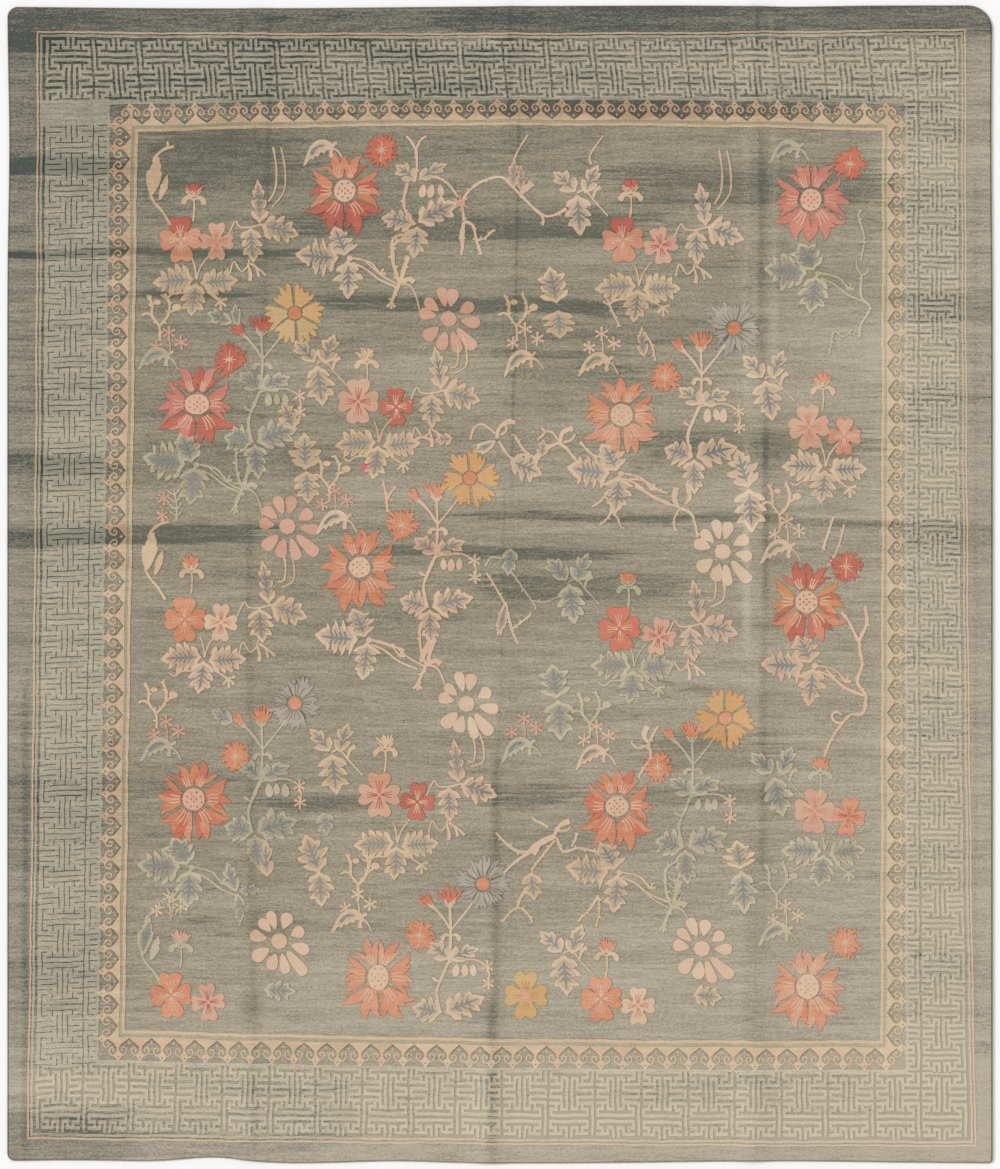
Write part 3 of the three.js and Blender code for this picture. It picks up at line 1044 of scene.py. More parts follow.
def fan(spot, wool, bearing, inner, outer, narrow, wide, tips, notch):
    """A petal that widens from the flower's eye and ends in several pointed tips, curling to one side."""
    outline = []
    lean = chance.uniform(-7, 7)
    for index in range(tips):
        middle = bearing - wide + 2 * wide * (index + 0.5) / tips + lean + chance.uniform(-2.5, 2.5)
        half = wide / tips
        reach = outer * chance.uniform(0.84, 1.10)
        if index:
            outline.append(polar(outer * notch * chance.uniform(0.94, 1.04), middle - half - lean * 0.3))
        outline += [polar(reach * 0.84, middle - half * 0.85 - lean * 0.2),
                    polar(reach * 0.94, middle - half * 0.4),
                    polar(reach, middle + half * chance.uniform(-0.3, 0.5)),
                    polar(reach * 0.86, middle + half * 0.75 - lean * 0.2)]
    waist = inner + (outer - inner) * 0.35
    outline = ([polar(inner, bearing - narrow), polar(waist, bearing - (narrow + wide) * 0.5)] + outline
               + [polar(waist, bearing + (narrow + wide) * 0.5), polar(inner, bearing + narrow),
                  polar(inner * 1.02, bearing)])
    patch(wool, laid(spot, outline))


def round_petal(spot, wool, bearing, radius, spread=1.0):
    """One of four broad petals whose end is parted into two lobes."""
    outline = []
    for share, away in ((0.10, -34), (0.42, -40), (0.72, -37), (0.94, -30), (1.02, -19), (0.97, -8),
                        (0.87, 0), (0.97, 8), (1.02, 19), (0.94, 30), (0.72, 37), (0.42, 40), (0.10, 34)):
        outline.append(polar(radius * share * chance.uniform(0.96, 1.04), bearing + away * spread))
    patch(wool, laid(spot, rounded_through(outline, 2, closed=True)))


def flame(spot, wool, base, full, tip, reach):
    """One tongue of a petal, from the flower's eye out to a point that curls a little."""
    curl = math.copysign(chance.uniform(2, 8), tip - base)
    start = PETALS_FROM * chance.uniform(0.96, 1.04)
    outline = [polar(start, base - full * 0.8), polar(start + 18, base + 0.3 * (tip - base) - full),
               polar(reach * 0.72, base + 0.75 * (tip - base) - full * 0.98),
               polar(reach * 0.87, tip - full * 0.60), polar(reach, tip - 1.5 + curl),
               polar(reach * 0.99, tip + 1.5 + curl), polar(reach * 0.85, tip + full * 0.55),
               polar(reach * 0.70, base + 0.75 * (tip - base) + full * 0.98),
               polar(start + 18, base + 0.3 * (tip - base) + full), polar(start, base + full * 0.8)]
    patch(wool, laid(spot, rounded_through(outline, 2, closed=True)))


def rays(spot, wool, bearings, inner, outer, width=2.6):
    """Fine straight lines out from a flower's eye."""
    for bearing in bearings:
        ends = [polar(inner, bearing), polar((inner + outer) / 2, bearing + 2), polar(outer, bearing)]
        ribbon(wool, spot, ends, width, width * 0.7, DETAIL_LIFT, 2)


# ---- Scroll frieze ----------------------------------------------------------------------------------------
# Pointed heads on flared feet, each with two arms that curl down and in, side by side all round the field.
# The last heads of each row stand on the base line's corners.
FRIEZE_BASE = 0.936
HEADS_ACROSS = 36
HEADS_DOWN = {-1: 42, 1: 41}


def head(to_plan, pitch):
    """One head on the frieze's own plan: across the pitch, and out from its base line."""
    half = pitch / 2
    right = [(half, -1), (half, 1), (half * 0.74, 9), (half * 0.44, 17), (6.5, 25), (3.0, 31), (3.2, 40),
             (8, 46), (14, 51), (10.5, 58), (5.0, 66), (1.5, 74)]
    left = [(-x, y) for x, y in reversed(right)]
    patch("apricot", [to_plan(x, y) for x, y in right + left])
    for hand in (1, -1):
        arm = [(9, 54), (17, 53), (24, 47), (27, 40), (25, 33), (19, 30), (13.5, 33), (13.5, 39), (17, 41)]
        here = [(hand * x * pitch / 68, y) for x, y in arm]
        ribbon("apricot", Spot(0, 0), [to_plan(x, y) for x, y in here], 3.8, 4.0, 0, 2)
        valley = [(7, 26), (half * 0.46, 18), (half * 0.76, 10), (half - 0.5, 3)]
        here = [(hand * x, y + 1.5) for x, y in valley]
        ribbon("frieze_dark", Spot(0, 0), [to_plan(x, y) for x, y in here], 1.8, 1.4, -0.6, 1)
    hole = [(2.4 * math.cos(a * math.pi / 3), 58 + 2.4 * math.sin(a * math.pi / 3)) for a in range(6)]
    patch("frieze_dark", [to_plan(x, y) for x, y in hole], DETAIL_LIFT)
    drop = [(half - 4, 17), (half, 22), (half + 4, 17), (half, 12)]
    patch("apricot", [to_plan(x, y) for x, y in drop], -0.3)


BASE_WIDTH = GUARD.half_width - BAND_ACROSS * FRIEZE_BASE
BASE_LENGTH = GUARD.half_length - BAND_ALONG * FRIEZE_BASE
for end in (1, -1):
    pitch = 2 * BASE_WIDTH / (HEADS_ACROSS - 1)
    for index in range(HEADS_ACROSS):
        middle = index * pitch - BASE_WIDTH
        head(lambda x, y: settle(middle + x, end * (BASE_LENGTH + y)), pitch)
for hand, count in HEADS_DOWN.items():
    pitch = 2 * BASE_LENGTH / (count - 1)
    for index in range(count):
        middle = index * pitch - BASE_LENGTH
        head(lambda x, y: settle(hand * (BASE_WIDTH + y * 0.9), middle + x), pitch)


# ---- Sunbursts --------------------------------------------------------------------------------------------
# The largest flowers: a dotted eye, a clear ring, two petals above, a wide one at each side and two below.
# Each petal is tongues side by side, and its second tongue may be of another dye.
Sunburst = namedtuple("Sunburst", "x y above beside below other eye wide long")
SUNBURSTS = [
    Sunburst(-480, 1219, "coral", "coral", "deep_red", "deep_red", "peach", 66, 70),
    Sunburst(963, 1191, "rose", "rose", "rose", "rose", "blush", 66, 68),
    Sunburst(-938, 558, "deep_red", "rose", "deep_red", "rose", "blush", 78, 64),
    Sunburst(377, 525, "coral", "coral", "salmon", "salmon", "peach", 70, 70),
    Sunburst(-434, 53, "coral", "coral", "coral", "coral", "peach", 66, 64),
    Sunburst(949, -54, "deep_red", "orange", "coral", "deep_red", "peach", 70, 68),
    Sunburst(-948, -665, "coral", "coral", "coral", "vermilion", "blush", 70, 68),
    Sunburst(363, -687, "coral", "coral", "coral", "vermilion", "peach", 72, 62),
    Sunburst(-377, -1217, "salmon", "coral", "coral", "coral", "peach", 64, 82),
    Sunburst(953, -1245, "salmon", "coral", "coral", "salmon", "peach", 70, 78),
]
PETALS_FROM = 42
Tongue = namedtuple("Tongue", "petal base full tip reach")
TONGUES = [
    Tongue("above", 11, 7, 5, 112), Tongue("above", 20, 9, 22, 122), Tongue("above", 29, 6, 37, 106),
    Tongue("beside", 63, 7, 59, 116), Tongue("beside", 74, 9, 74, 100), Tongue("beside", 86, 9, 91, 112),
    Tongue("beside", 97, 9, 104, 100), Tongue("beside", 107, 6, 115, 110),
    Tongue("below", 134, 7, 126, 132), Tongue("below", 143, 9, 140, 116), Tongue("below", 154, 10, 156, 136),
    Tongue("below", 166, 8, 172, 124),
]
RAYS_AT = {"above": (14, 21, 28), "beside": (78, 88, 98), "below": (139, 148, 158)}


def sunburst(flower):
    spot = Spot(flower.x, flower.y)
    eye = flower.eye
    blot(eye, spot, flower.wide, flower.long, sides=16, rough=0.04)
    for radius, count in ((9, 4), (24, 8)):
        for dot in range(count):
            x, y = polar(radius * chance.uniform(0.8, 1.1), 360 * (dot + 0.5 * (radius > 10)) / count)
            blot(flower.other, spot, 6.5, 6.5, x, y * flower.long / 70, DETAIL_LIFT, 6, 0.15)
    for hand in (1, -1):
        before = None
        for tongue in TONGUES:
            wool = getattr(flower, tongue.petal)
            if tongue.petal == before and chance.random() < 0.4:
                wool = flower.other
            before = tongue.petal
            flame(spot, wool, hand * (tongue.base + chance.uniform(-2, 2)), tongue.full,
                  hand * (tongue.tip + chance.uniform(-4, 4)), tongue.reach * chance.uniform(0.93, 1.07))
        for petal, bearings in RAYS_AT.items():
            longer = 86 if petal == "below" else 76
            rays(spot, "peach", [hand * bearing for bearing in bearings], PETALS_FROM + 2, longer, 3.6)


for flower in SUNBURSTS:
    sunburst(flower)


# ---- Small flowers ----------------------------------------------------------------------------------------
# Ragged blooms beside the sunbursts, pairs of four-petalled blossoms, and daisies whose petals stand loose
# round a plain disc, each petal an island of its own.
Bloom = namedtuple("Bloom", "x y wool")
RAGGED = [
    Bloom(-367, 1345, "vermilion"), Bloom(1084, 1302, "vermilion"), Bloom(-838, 697, "deep_red"),
    Bloom(511, 642, "coral"), Bloom(-305, 183, "coral"), Bloom(1072, 56, "deep_red"),
    Bloom(-819, -533, "coral"), Bloom(489, -564, "coral"), Bloom(-249, -1088, "coral"),
    Bloom(1069, -1110, "coral"),
]


def ragged_bloom(bloom):
    spot = Spot(bloom.x, bloom.y, chance.uniform(-10, 10))
    blot(bloom.wool, spot, 64, 74, sides=14, rough=0.12)
    for finger in range(11):
        bearing = 360 * finger / 11 + chance.uniform(-8, 8)
        reach = chance.uniform(44, 62)
        fork = chance.uniform(7, 12)
        for lean in (-fork, fork):
            ribbon(bloom.wool, spot, [polar(14, bearing), polar(32, bearing + lean * 0.3),
                                      polar(reach * chance.uniform(0.8, 1), bearing + lean)], 11, 5.5, 0, 2)
    for bearing, reach in ((0, 28), (180, 34), (90, 20), (-90, 20),
                           (50, 14), (-50, 14), (130, 16), (-130, 16)):
        rays(spot, "peach", [bearing], 1, reach, 3.0)


for bloom in RAGGED:
    ragged_bloom(bloom)

Pair = namedtuple("Pair", "x y left top left_lines right right_x right_y right_lines")
PAIRS = [
    Pair(-988, 1069, "salmon", "deep_red", "peach", "pink", -877, 1063, "coral"),
    Pair(381, 1068, "salmon", "deep_red", "peach", "pink", 498, 1049, "deep_red"),
    Pair(-439, 567, "pink", "pink", "deep_red", "deep_red", -321, 550, "peach"),
    Pair(957, 487, "pink", "pink", "coral", "salmon", 1066, 459, "peach"),
    Pair(-976, -108, "coral", "coral", "peach", "peach", -864, -117, "coral"),
    Pair(371, -136, "vermilion", "vermilion", "peach", "pink", 492, -161, "deep_red"),
    Pair(-374, -651, "pink", "salmon", "deep_red", "deep_red", -256, -673, "peach"),
    Pair(974, -701, "pink", "pink", "coral", "coral", 1079, -718, "deep_red"),
    Pair(-1018, -1271, "coral", "coral", "peach", "pink", -904, -1293, "deep_red"),
    Pair(313, -1283, "coral", "coral", "peach", "peach", 428, -1304, "coral"),
]


def blossom(spot, radius, wool, top_wool, line_wool, spread=1.0):
    """Four petals parted at their ends, with three lines out along each."""
    blot(wool, spot, radius * 0.84, radius * 0.90, lift=-0.05, sides=12, rough=0.05)
    for petal in range(4):
        bearing = 90 * petal
        reach = radius * (0.96 if petal % 2 else 1.06)
        round_petal(spot, top_wool if petal == 0 else wool, bearing, reach, spread)
        rays(spot, line_wool, (bearing - 14, bearing, bearing + 14), 6, reach * 0.62, 2.6)


for pair in PAIRS:
    blossom(Spot(pair.x, pair.y, chance.uniform(-6, 6)), 67, pair.left, pair.top, pair.left_lines, 1.06)
    right = Spot(pair.right_x, pair.right_y, chance.uniform(-12, 12))
    blossom(right, 55, pair.right, pair.right, pair.right_lines, 0.94)

blossom(Spot(80, -1272), 70, "yellow", "yellow", "coral")
blot("pink", Spot(80, -1272), 30, 38, lift=DETAIL_LIFT, rough=0.08)

DAISIES = [Bloom(-159, 822, "pink"), Bloom(-658, 180, "pink"), Bloom(690, 102, "cream"),
           Bloom(-103, -369, "cream"), Bloom(-683, -1104, "peach"), Bloom(625, -1127, "peach")]
Loose = namedtuple("Loose", "bearing reach wide")
DAISY_PETALS = [
    Loose(49, 92, 31), Loose(20, 98, 30), Loose(-11, 92, 35), Loose(-58, 86, 36), Loose(-99, 96, 33),
    Loose(-135, 126, 34), Loose(-162, 108, 30), Loose(-192, 96, 35), Loose(-226, 98, 38), Loose(-280, 92, 36),
]


def daisy(bloom):
    """A many-sided middle and ten loose petals, longest below on the right."""
    spot = Spot(bloom.x, bloom.y, chance.uniform(-6, 6))
    blot(bloom.wool, spot, 52, 50, sides=8, rough=0.05)
    for petal in DAISY_PETALS:
        bearing = petal.bearing + chance.uniform(-4, 4)
        reach = petal.reach * chance.uniform(0.95, 1.05)
        outline = []
        for away, share in ((40, -0.06), (54, -0.34), (reach - 20, -0.53), (reach - 6, -0.44), (reach, -0.10),
                            (reach - 2, 0.28), (reach - 16, 0.53), (60, 0.40), (43, 0.12)):
            x, y = polar(away, bearing)
            side = polar(petal.wide * share * chance.uniform(0.9, 1.1), bearing - 90)
            outline.append((x + side[0], y + side[1]))
        patch(bloom.wool, laid(spot, rounded_through(outline, 2, closed=True)))


for bloom in DAISIES:
    daisy(bloom)


# ---- Leaf clusters ----------------------------------------------------------------------------------------
# Three lobed leaves about a junction. Those under a sunburst send two stems to the right, and those under a
# pair of blossoms hang from both flowers.
Growth = namedtuple("Growth", "x y wool")
Part = namedtuple("Part", "x y turn length width lobes bend sharp", defaults=(0.0, 0.7))
UNDER_SUNBURST = [
    Growth(-465, 1012, "cream"), Growth(985, 965, "pale_green"), Growth(-940, 372, "pale_green"),
    Growth(375, 345, "cream"), Growth(-405, -170, "cream"), Growth(975, -250, "peach"),
    Growth(-955, -875, "pale_green"), Growth(370, -890, "tan"),
]
UNDER_SUNBURST_LEAVES = [
    Part(-36, 0, 88, 128, 104, 4, 0.06, 0.2),
    Part(-14, 8, 20, 92, 90, 3, -0.10, 0.3),
    Part(-6, -10, 178, 114, 84, 3, 0.05, 0.5),
]
UNDER_PAIR = [
    Growth(-940, 945, "tan"), Growth(430, 925, "tan"), Growth(-375, 440, "tan"), Growth(1008, 365, "cream"),
    Growth(-915, -225, "peach"), Growth(415, -255, "pale_green"), Growth(-318, -800, "tan"),
    Growth(1005, -825, "pale_green"),
]
UNDER_PAIR_LEAVES = [
    Part(-10, 0, 88, 122, 84, 4, -0.05, 1.0),
    Part(14, -12, -82, 112, 80, 4, 0.04, 1.0),
    Part(-2, -12, 176, 100, 72, 3, 0.06, 1.0),
]
Beside = namedtuple("Beside", "x y wool climb")
BESIDE_PAIR = [
    Beside(-750, 1112, "tan", 1), Beside(630, 1104, "cream", 1), Beside(-188, 598, "tan", 0.72),
    Beside(610, -124, "peach", 0.72), Beside(-722, -66, "tan", 0.72), Beside(-135, -620, "peach", 0.66),
]
BESIDE_PAIR_LEAVES = [
    Part(6, 6, 4, 132, 50, 3, -0.04, 0.6),
    Part(14, 0, -103, 114, 82, 3, 0.05, 0.8),
    Part(-22, -8, 178, 104, 68, 3, -0.08, 0.8),
]
BUTTERFLIES = [
    Growth(-568, 684, "tan"), Growth(818, 636, "cream"), Growth(846, -590, "pale_green"),
    Growth(-522, -520, "tan"), Growth(196, -1142, "cream"), Growth(238, 1212, "cream"),
    Growth(212, 8, "pale_green"),
]
BUTTERFLY_LEAVES = [
    Part(-6, 4, 38, 88, 58, 2, -0.12),
    Part(26, 0, -12, 92, 56, 2, 0.14),
    Part(2, -6, 186, 122, 88, 3, -0.04),
]


def leaves(growth, parts):
    for part in parts:
        turn = part.turn + chance.uniform(-5, 5)
        spot = within(Spot(growth.x, growth.y), part.x, part.y, turn)
        sharp = 0.95 if growth.wool == "pale_green" else part.sharp
        leaf(spot, growth.wool, part.length, part.width, part.lobes, part.bend, sharp)


def prongs(wool, spot, points, width=5.0):
    """A twig's end: short stubs from one place to several."""
    start = points[0]
    for end in points[1:]:
        ribbon(wool, spot, [start, ((start[0] + end[0]) / 2 + 1.5, (start[1] + end[1]) / 2), end],
               width, width + 2.5, 0, 2)


for growth in UNDER_SUNBURST:
    spot = Spot(growth.x, growth.y)
    leaves(growth, UNDER_SUNBURST_LEAVES)
    ribbon(growth.wool, spot, [(0, 0), (34, -6), (68, -18), (92, -48), (112, -46)], 4.5, 5)
    ribbon(growth.wool, spot, [(6, -16), (48, -34), (92, -68), (150, -92)], 5, 6)
    prongs(growth.wool, spot, [(92, -52), (84, -36), (104, -34), (112, -50)])
    blot(growth.wool, spot, 20, 18, 0, -2, sides=8)

for growth in UNDER_PAIR:
    spot = Spot(growth.x, growth.y)
    leaves(growth, UNDER_PAIR_LEAVES)
    ribbon(growth.wool, spot, [(0, 0), (-4, 36), (-14, 66)], 5, 3.5)
    ribbon(growth.wool, spot, [(0, 0), (14, 40), (42, 76)], 5, 3.5)
    ribbon(growth.wool, spot, [(-30, -42), (-70, -44), (-92, -58), (-110, -48)], 5)
    ribbon(growth.wool, spot, [(34, -38), (56, -56), (76, -68)], 4.5)
    prongs(growth.wool, spot, [(72, -66), (58, -84), (76, -96), (92, -84), (96, -60)])

for growth in BESIDE_PAIR:
    spot = Spot(growth.x, growth.y)
    leaves(growth, BESIDE_PAIR_LEAVES)
    ribbon(growth.wool, spot, [(16, 4), (-22, -6), (-56, -4), (-70, 12), (-92, -34)], 5, 3.5)
    ribbon(growth.wool, spot, [(-26, -106), (-32, -128), (-52, -142), (-74, -112), (-86, -150)], 4.5, 4)
    ribbon(growth.wool, spot, [(-30, -122), (-22, -150), (-24, -172)], 5, 11)
    prongs(growth.wool, spot, [(-6, -128), (4, -160), (26, -156), (-24, -118)])
    climb = growth.climb
    ribbon(growth.wool, spot, [(34, 74), (54, 112 * climb), (58, 176 * climb), (48, 242 * climb)], 4.5, 5)
    ribbon(growth.wool, spot, [(44, 56), (82, 108 * climb), (84, 180 * climb), (72, 242 * climb)], 4.5, 5)

for growth in BUTTERFLIES:
    spot = Spot(growth.x, growth.y)
    leaves(growth, BUTTERFLY_LEAVES)
    ribbon(growth.wool, spot, [(0, 0), (26, 8), (54, -24), (96, -70)], 5, 4)
    ribbon(growth.wool, spot, [(50, -18), (58, 8), (74, 18)], 5, 15)


# ---- Bouquets ---------------------------------------------------------------------------------------------
# Three stems from one joint: two buds and an aster. Below are ball leaves, a fan of leaves, an arm with two
# stars over hanging leaves, and a stem down to three more leaves.
Bouquet = namedtuple("Bouquet", "x y wool petals bud foot")
BOUQUETS = [
    Bouquet(-735, 697, "pale_green", "yellow", "deep_red", 3),
    Bouquet(-193, 186, "peach", "amber", "coral", 3),
    Bouquet(625, 650, "cream", "aster_grey", "coral", 3),
    Bouquet(-735, -511, "pale_green", "aster_grey", "coral", 3),
    Bouquet(598, -558, "pale_green", "amber", "coral", 3),
    Bouquet(-152, -1070, "cream", "aster_grey", "vermilion", 2),
]
FAN_LEAVES = [
    Part(-8, -92, 40, 78, 56, 2, -0.15),
    Part(-2, -90, -56, 92, 52, 2, 0.18),
]
FOOT_LEAVES = [
    Part(-34, -258, 68, 84, 82, 3, -0.10),
    Part(-16, -256, -66, 126, 88, 3, 0.10),
    Part(-24, -264, 180, 104, 66, 3, -0.06),
]


def aster(spot, wool):
    """A coral eye in a fringe: six toothed petals, or a cloud of grey ones under fine dark rays."""
    if wool == "aster_grey":
        for petal in range(9):
            fan(spot, wool, 40 * petal + chance.uniform(-6, 6), 26, chance.uniform(70, 94), 17, 19, 4, 0.80)
        for ray in range(20):
            bearing = 18 * ray + chance.uniform(-5, 5)
            ends = [polar(26, bearing), polar(44, bearing + 3), polar(chance.uniform(46, 76), bearing)]
            ribbon("ray_slate", spot, ends, 2.0, 1.4, DETAIL_LIFT, 2)
    else:
        for petal in range(6):
            dye_wool = "straw" if wool == "yellow" and petal in (2, 3, 4) else wool
            fan(spot, dye_wool, 60 * petal - 25, 24, 92, 22, 27, 4, 0.78)
    blot("coral", spot, 42, 40, sides=12, rough=0.06)


def bud(spot, cap, bracts, spread=1.0, tall=1.0):
    """A small flower head: a tuft of fingers in a cup of bracts."""
    ribbon(bracts, spot, [(0, 0), (0, 10), (0, 20)], 6, 14)
    for hand in (-1, 1):
        for drop in (0, 9):
            ends = [(0, 10 - drop), (hand * 9 * spread, 15 - drop), (hand * 19 * spread, 28 - drop)]
            ribbon(bracts, spot, ends, 5, 4, 0, 2)
    for finger in range(7):
        bearing = (15 * finger - 45) * spread + chance.uniform(-5, 5)
        x, y = polar(chance.uniform(38, 56) * tall, bearing)
        ribbon(cap, spot, [(x * 0.12, 14), (x * 0.7, 16 + y * 0.45), (x, 16 + y * 0.9)], 8, 5, 0, 2)


def ball_leaves(spot, wool, reach=28):
    """Two small leaves that droop from either side of a stalk."""
    share = reach / 40
    for hand in (-1, 1):
        drop = [(1, -6), (7, 4), (17, 10), (30, 8), (42, -3),
                (46, -16), (38, -24), (28, -20), (24, -8), (14, -4)]
        outline = [(hand * x * share, y * share * chance.uniform(0.85, 1.15)) for x, y in drop]
        patch(wool, laid(spot, rounded_through(outline, 2, closed=True)))


def hanging_leaves(spot, wool, count=3):
    """A row of drops under a stem."""
    drop = [(0, 3), (-8, -9), (-10, -22), (-4, -33), (4, -34), (11, -25), (9, -8)]
    for index in range(count):
        place = within(spot, 25 * index, 0, chance.uniform(-12, 14), chance.uniform(0.9, 1.2))
        patch(wool, laid(place, rounded_through(drop, 2, closed=True)))


def star(spot, wool, radius=20):
    """A little flower of six straight petals."""
    for petal in range(6):
        bearing = 60 * petal + chance.uniform(-8, 8)
        line = [polar(3, bearing), polar(radius * 0.6, bearing), polar(radius, bearing)]
        ribbon(wool, spot, line, 4, 6.5, 0, 2)
    blot(wool, spot, 8, 8, lift=DETAIL_LIFT, sides=6)


def bouquet(growth):
    spot = Spot(growth.x, growth.y)
    wool = growth.wool
    star_wool = "peach" if wool == "pale_green" else "cream"
    ribbon(wool, spot, [(0, 0), (-24, 38), (-56, 74)], 6, 7)
    bud(within(spot, -54, 68, 38, 0.8), growth.bud, wool, 0.45)
    ribbon(wool, spot, [(0, 0), (-2, 40), (-3, 78)], 6, 6)
    bud(within(spot, -3, 70), growth.bud, wool, 0.9, 1.1)
    ribbon(wool, spot, [(0, 0), (40, 48), (72, 92)], 6, 5)
    aster(within(spot, 100, 143), growth.petals)
    ribbon(wool, spot, [(0, 0), (-2, -50), (-6, -104)], 6, 9)
    ball_leaves(within(spot, 0, -16), wool)
    leaves(Growth(growth.x, growth.y, wool), FAN_LEAVES)
    ribbon(wool, spot, [(-8, -100), (30, -92), (76, -92), (106, -106)], 6, 5)
    hanging_leaves(within(spot, 18, -108), wool)
    star(within(spot, 114, -112), star_wool)
    star(within(spot, 116, -164), star_wool)
    ribbon(star_wool, spot, [(114, -112), (119, -140), (116, -164)], 3.5)
    ribbon(wool, spot, [(-8, -100), (-28, -146), (-44, -196), (-30, -258)], 9, 6)
    ribbon(wool, spot, [(-34, -160), (-48, -154), (-56, -146)], 5, 9)
    leaves(Growth(growth.x, growth.y, wool), FOOT_LEAVES[:growth.foot])


for growth in BOUQUETS:
    bouquet(growth)


# ---- Buds, half-moon leaves and star trios ----------------------------------------------------------------
# Each left blossom carries a bud, and most sunbursts have a half-moon leaf with three stars over it. All are
# knotted in the dyes of the leaves beside them.
BUDS = [
    Growth(-948, 1196, "tan"), Growth(405, 1206, "tan"), Growth(-412, 688, "tan"), Growth(1000, 608, "peach"),
    Growth(-955, 40, "tan"), Growth(398, -10, "pale_green"), Growth(-355, -512, "tan"),
    Growth(992, -585, "pale_green"), Growth(-988, -1120, "pale_green"), Growth(330, -1145, "tan"),
]
CAPS = ["deep_red", "deep_red", "tan", "coral", "coral", "coral", "tan", "coral", "pink", "coral"]
for growth, cap in zip(BUDS, CAPS):
    spot = Spot(growth.x, growth.y)
    ribbon(growth.wool, spot, [(0, 0), (2, -32), (-2, -70)], 4.5)
    ball_leaves(spot, growth.wool, 34)
    bud(within(spot, 0, 4, chance.uniform(-8, 8)), cap, growth.wool, 1.25, 0.66)

HALF_MOONS = [
    Growth(-1028, 706, "pale_green"), Growth(98, 702, "tan"), Growth(335, 690, "tan"),
    Growth(-476, 202, "cream"),
    Growth(898, 112, "cream"), Growth(-1020, -503, "pale_green"), Growth(94, -498, "pale_green"),
    Growth(324, -522, "peach"), Growth(-520, 1352, "cream"), Growth(-428, -1034, "cream"),
    Growth(892, -1074, "pale_green"), Growth(925, 1350, "pale_green"),
]
HALF_MOON = [(6, 5), (-8, 20), (-26, 28), (-48, 24), (-66, 8), (-80, -18), (-92, -52), (-80, -44), (-70, -30),
             (-60, -34), (-54, -22), (-44, -26), (-36, -12), (-24, -16), (-16, -5), (-4, -8)]
MOON_HEART = [(-16, 6), (-30, 16), (-50, 10), (-66, -10), (-74, -28), (-62, -20), (-50, -12), (-34, -4)]
for growth in HALF_MOONS:
    spot = Spot(growth.x, growth.y, chance.uniform(-6, 6))
    patch(growth.wool, laid(spot, rounded_through(HALF_MOON, 2, closed=True)))
    heart = rounded_through(MOON_HEART, 2, closed=True)
    patch(HEART.get(growth.wool, "leaf_heart"), laid(spot, heart), DETAIL_LIFT)
    ribbon("vein_blue", spot, [(-66, -16), (-48, 4), (-26, 8)], 9, 5, 2.2 * DETAIL_LIFT, 3)
    ribbon(growth.wool, spot, [(0, 0), (18, -12), (34, -38)], 5, 4)
    ribbon(growth.wool, spot, [(2, -4), (-4, -16), (-2, -30)], 6, 12)
    ribbon(growth.wool, spot, [(0, 0), (8, 12), (16, 14)], 6, 9)

Trio = namedtuple("Trio", "x y wool stem")
TRIOS = [
    Trio(-1025, 757, "pink", -50), Trio(78, 768, "peach", -64), Trio(315, 754, "peach", -60),
    Trio(-512, 268, "pink", -64), Trio(888, 174, "cream", -62), Trio(-1033, -446, "pink", -54),
    Trio(74, -436, "pink", -60), Trio(298, -462, "peach", -58), Trio(-440, -982, "cream", -50),
    Trio(884, -1018, "cream", -54), Trio(-1025, -990, "cream", -30),
]
for trio in TRIOS:
    spot = Spot(trio.x, trio.y)
    ribbon(trio.wool, spot, [(0, 12), (4, -20), (2, trio.stem)], 3.5)
    star(within(spot, 0, 22), trio.wool, 22)
    star(within(spot, 38, -8), trio.wool, 22)
    star(within(spot, -38, -20), trio.wool, 20)


# ---- Twigs and vines --------------------------------------------------------------------------------------
# Forked twigs over the trios, coral-like twigs that lead to the daisies, and the vines that cross the field,
# all narrow ribbons of raised pile with knots and thorns along them.
FORKS = [
    Growth(-1055, 800, "tan"), Growth(50, 800, "tan"), Growth(865, 215, "peach"),
    Growth(-1065, -400, "peach"), Growth(276, -430, "pale_green"), Growth(-440, -930, "tan"),
    Growth(855, -960, "pale_green"), Growth(-530, 300, "tan"),
]
for growth in FORKS:
    spot = Spot(growth.x, growth.y)
    twig(growth.wool, spot, [(2, -46), (0, 0), (-22, 32), (-22, 68), (-36, 96)], 6, 8, 26)
    twig(growth.wool, spot, [(0, 0), (26, 30), (32, 68), (18, 100)], 7, 8, 28)
    ribbon(growth.wool, spot, [(-24, 34), (-38, 40), (-54, 34)], 6, 7)
    blot(growth.wool, spot, 24, 17, -6, 74, sides=8)
    blot(growth.wool, spot, 30, 22, 54, 58, sides=8)
    ribbon(growth.wool, spot, [(30, 44), (44, 48), (54, 56)], 6, 8)

CORALS = [
    Growth(-310, 932, "tan"), Growth(-228, -250, "peach"), Growth(532, -1000, "pale_green"),
    Growth(-796, 296, "pale_green"),
]
for growth in CORALS:
    spot = Spot(growth.x, growth.y)
    twig(growth.wool, spot, [(0, 0), (-16, 42), (-20, 88), (-18, 120), (22, 148)], 8, 6, 24, 13)
    twig(growth.wool, spot, [(4, 0), (10, 34), (26, 84)], 9, 14, 22, 12)
    twig(growth.wool, spot, [(0, 0), (-14, -28), (-28, -64)], 9, 9, 18, 10)
    prongs(growth.wool, spot, [(-26, -56), (-40, -72), (-16, -74), (-28, -78)])
    ribbon(growth.wool, spot, [(0, 0), (30, -6), (50, -38), (62, -88)], 7, 4)
    ribbon(growth.wool, spot, [(6, 2), (28, 14), (44, 4)], 9, 18)
    ribbon(growth.wool, spot, [(-2, -4), (-52, 22), (-104, 66)], 5, 4)


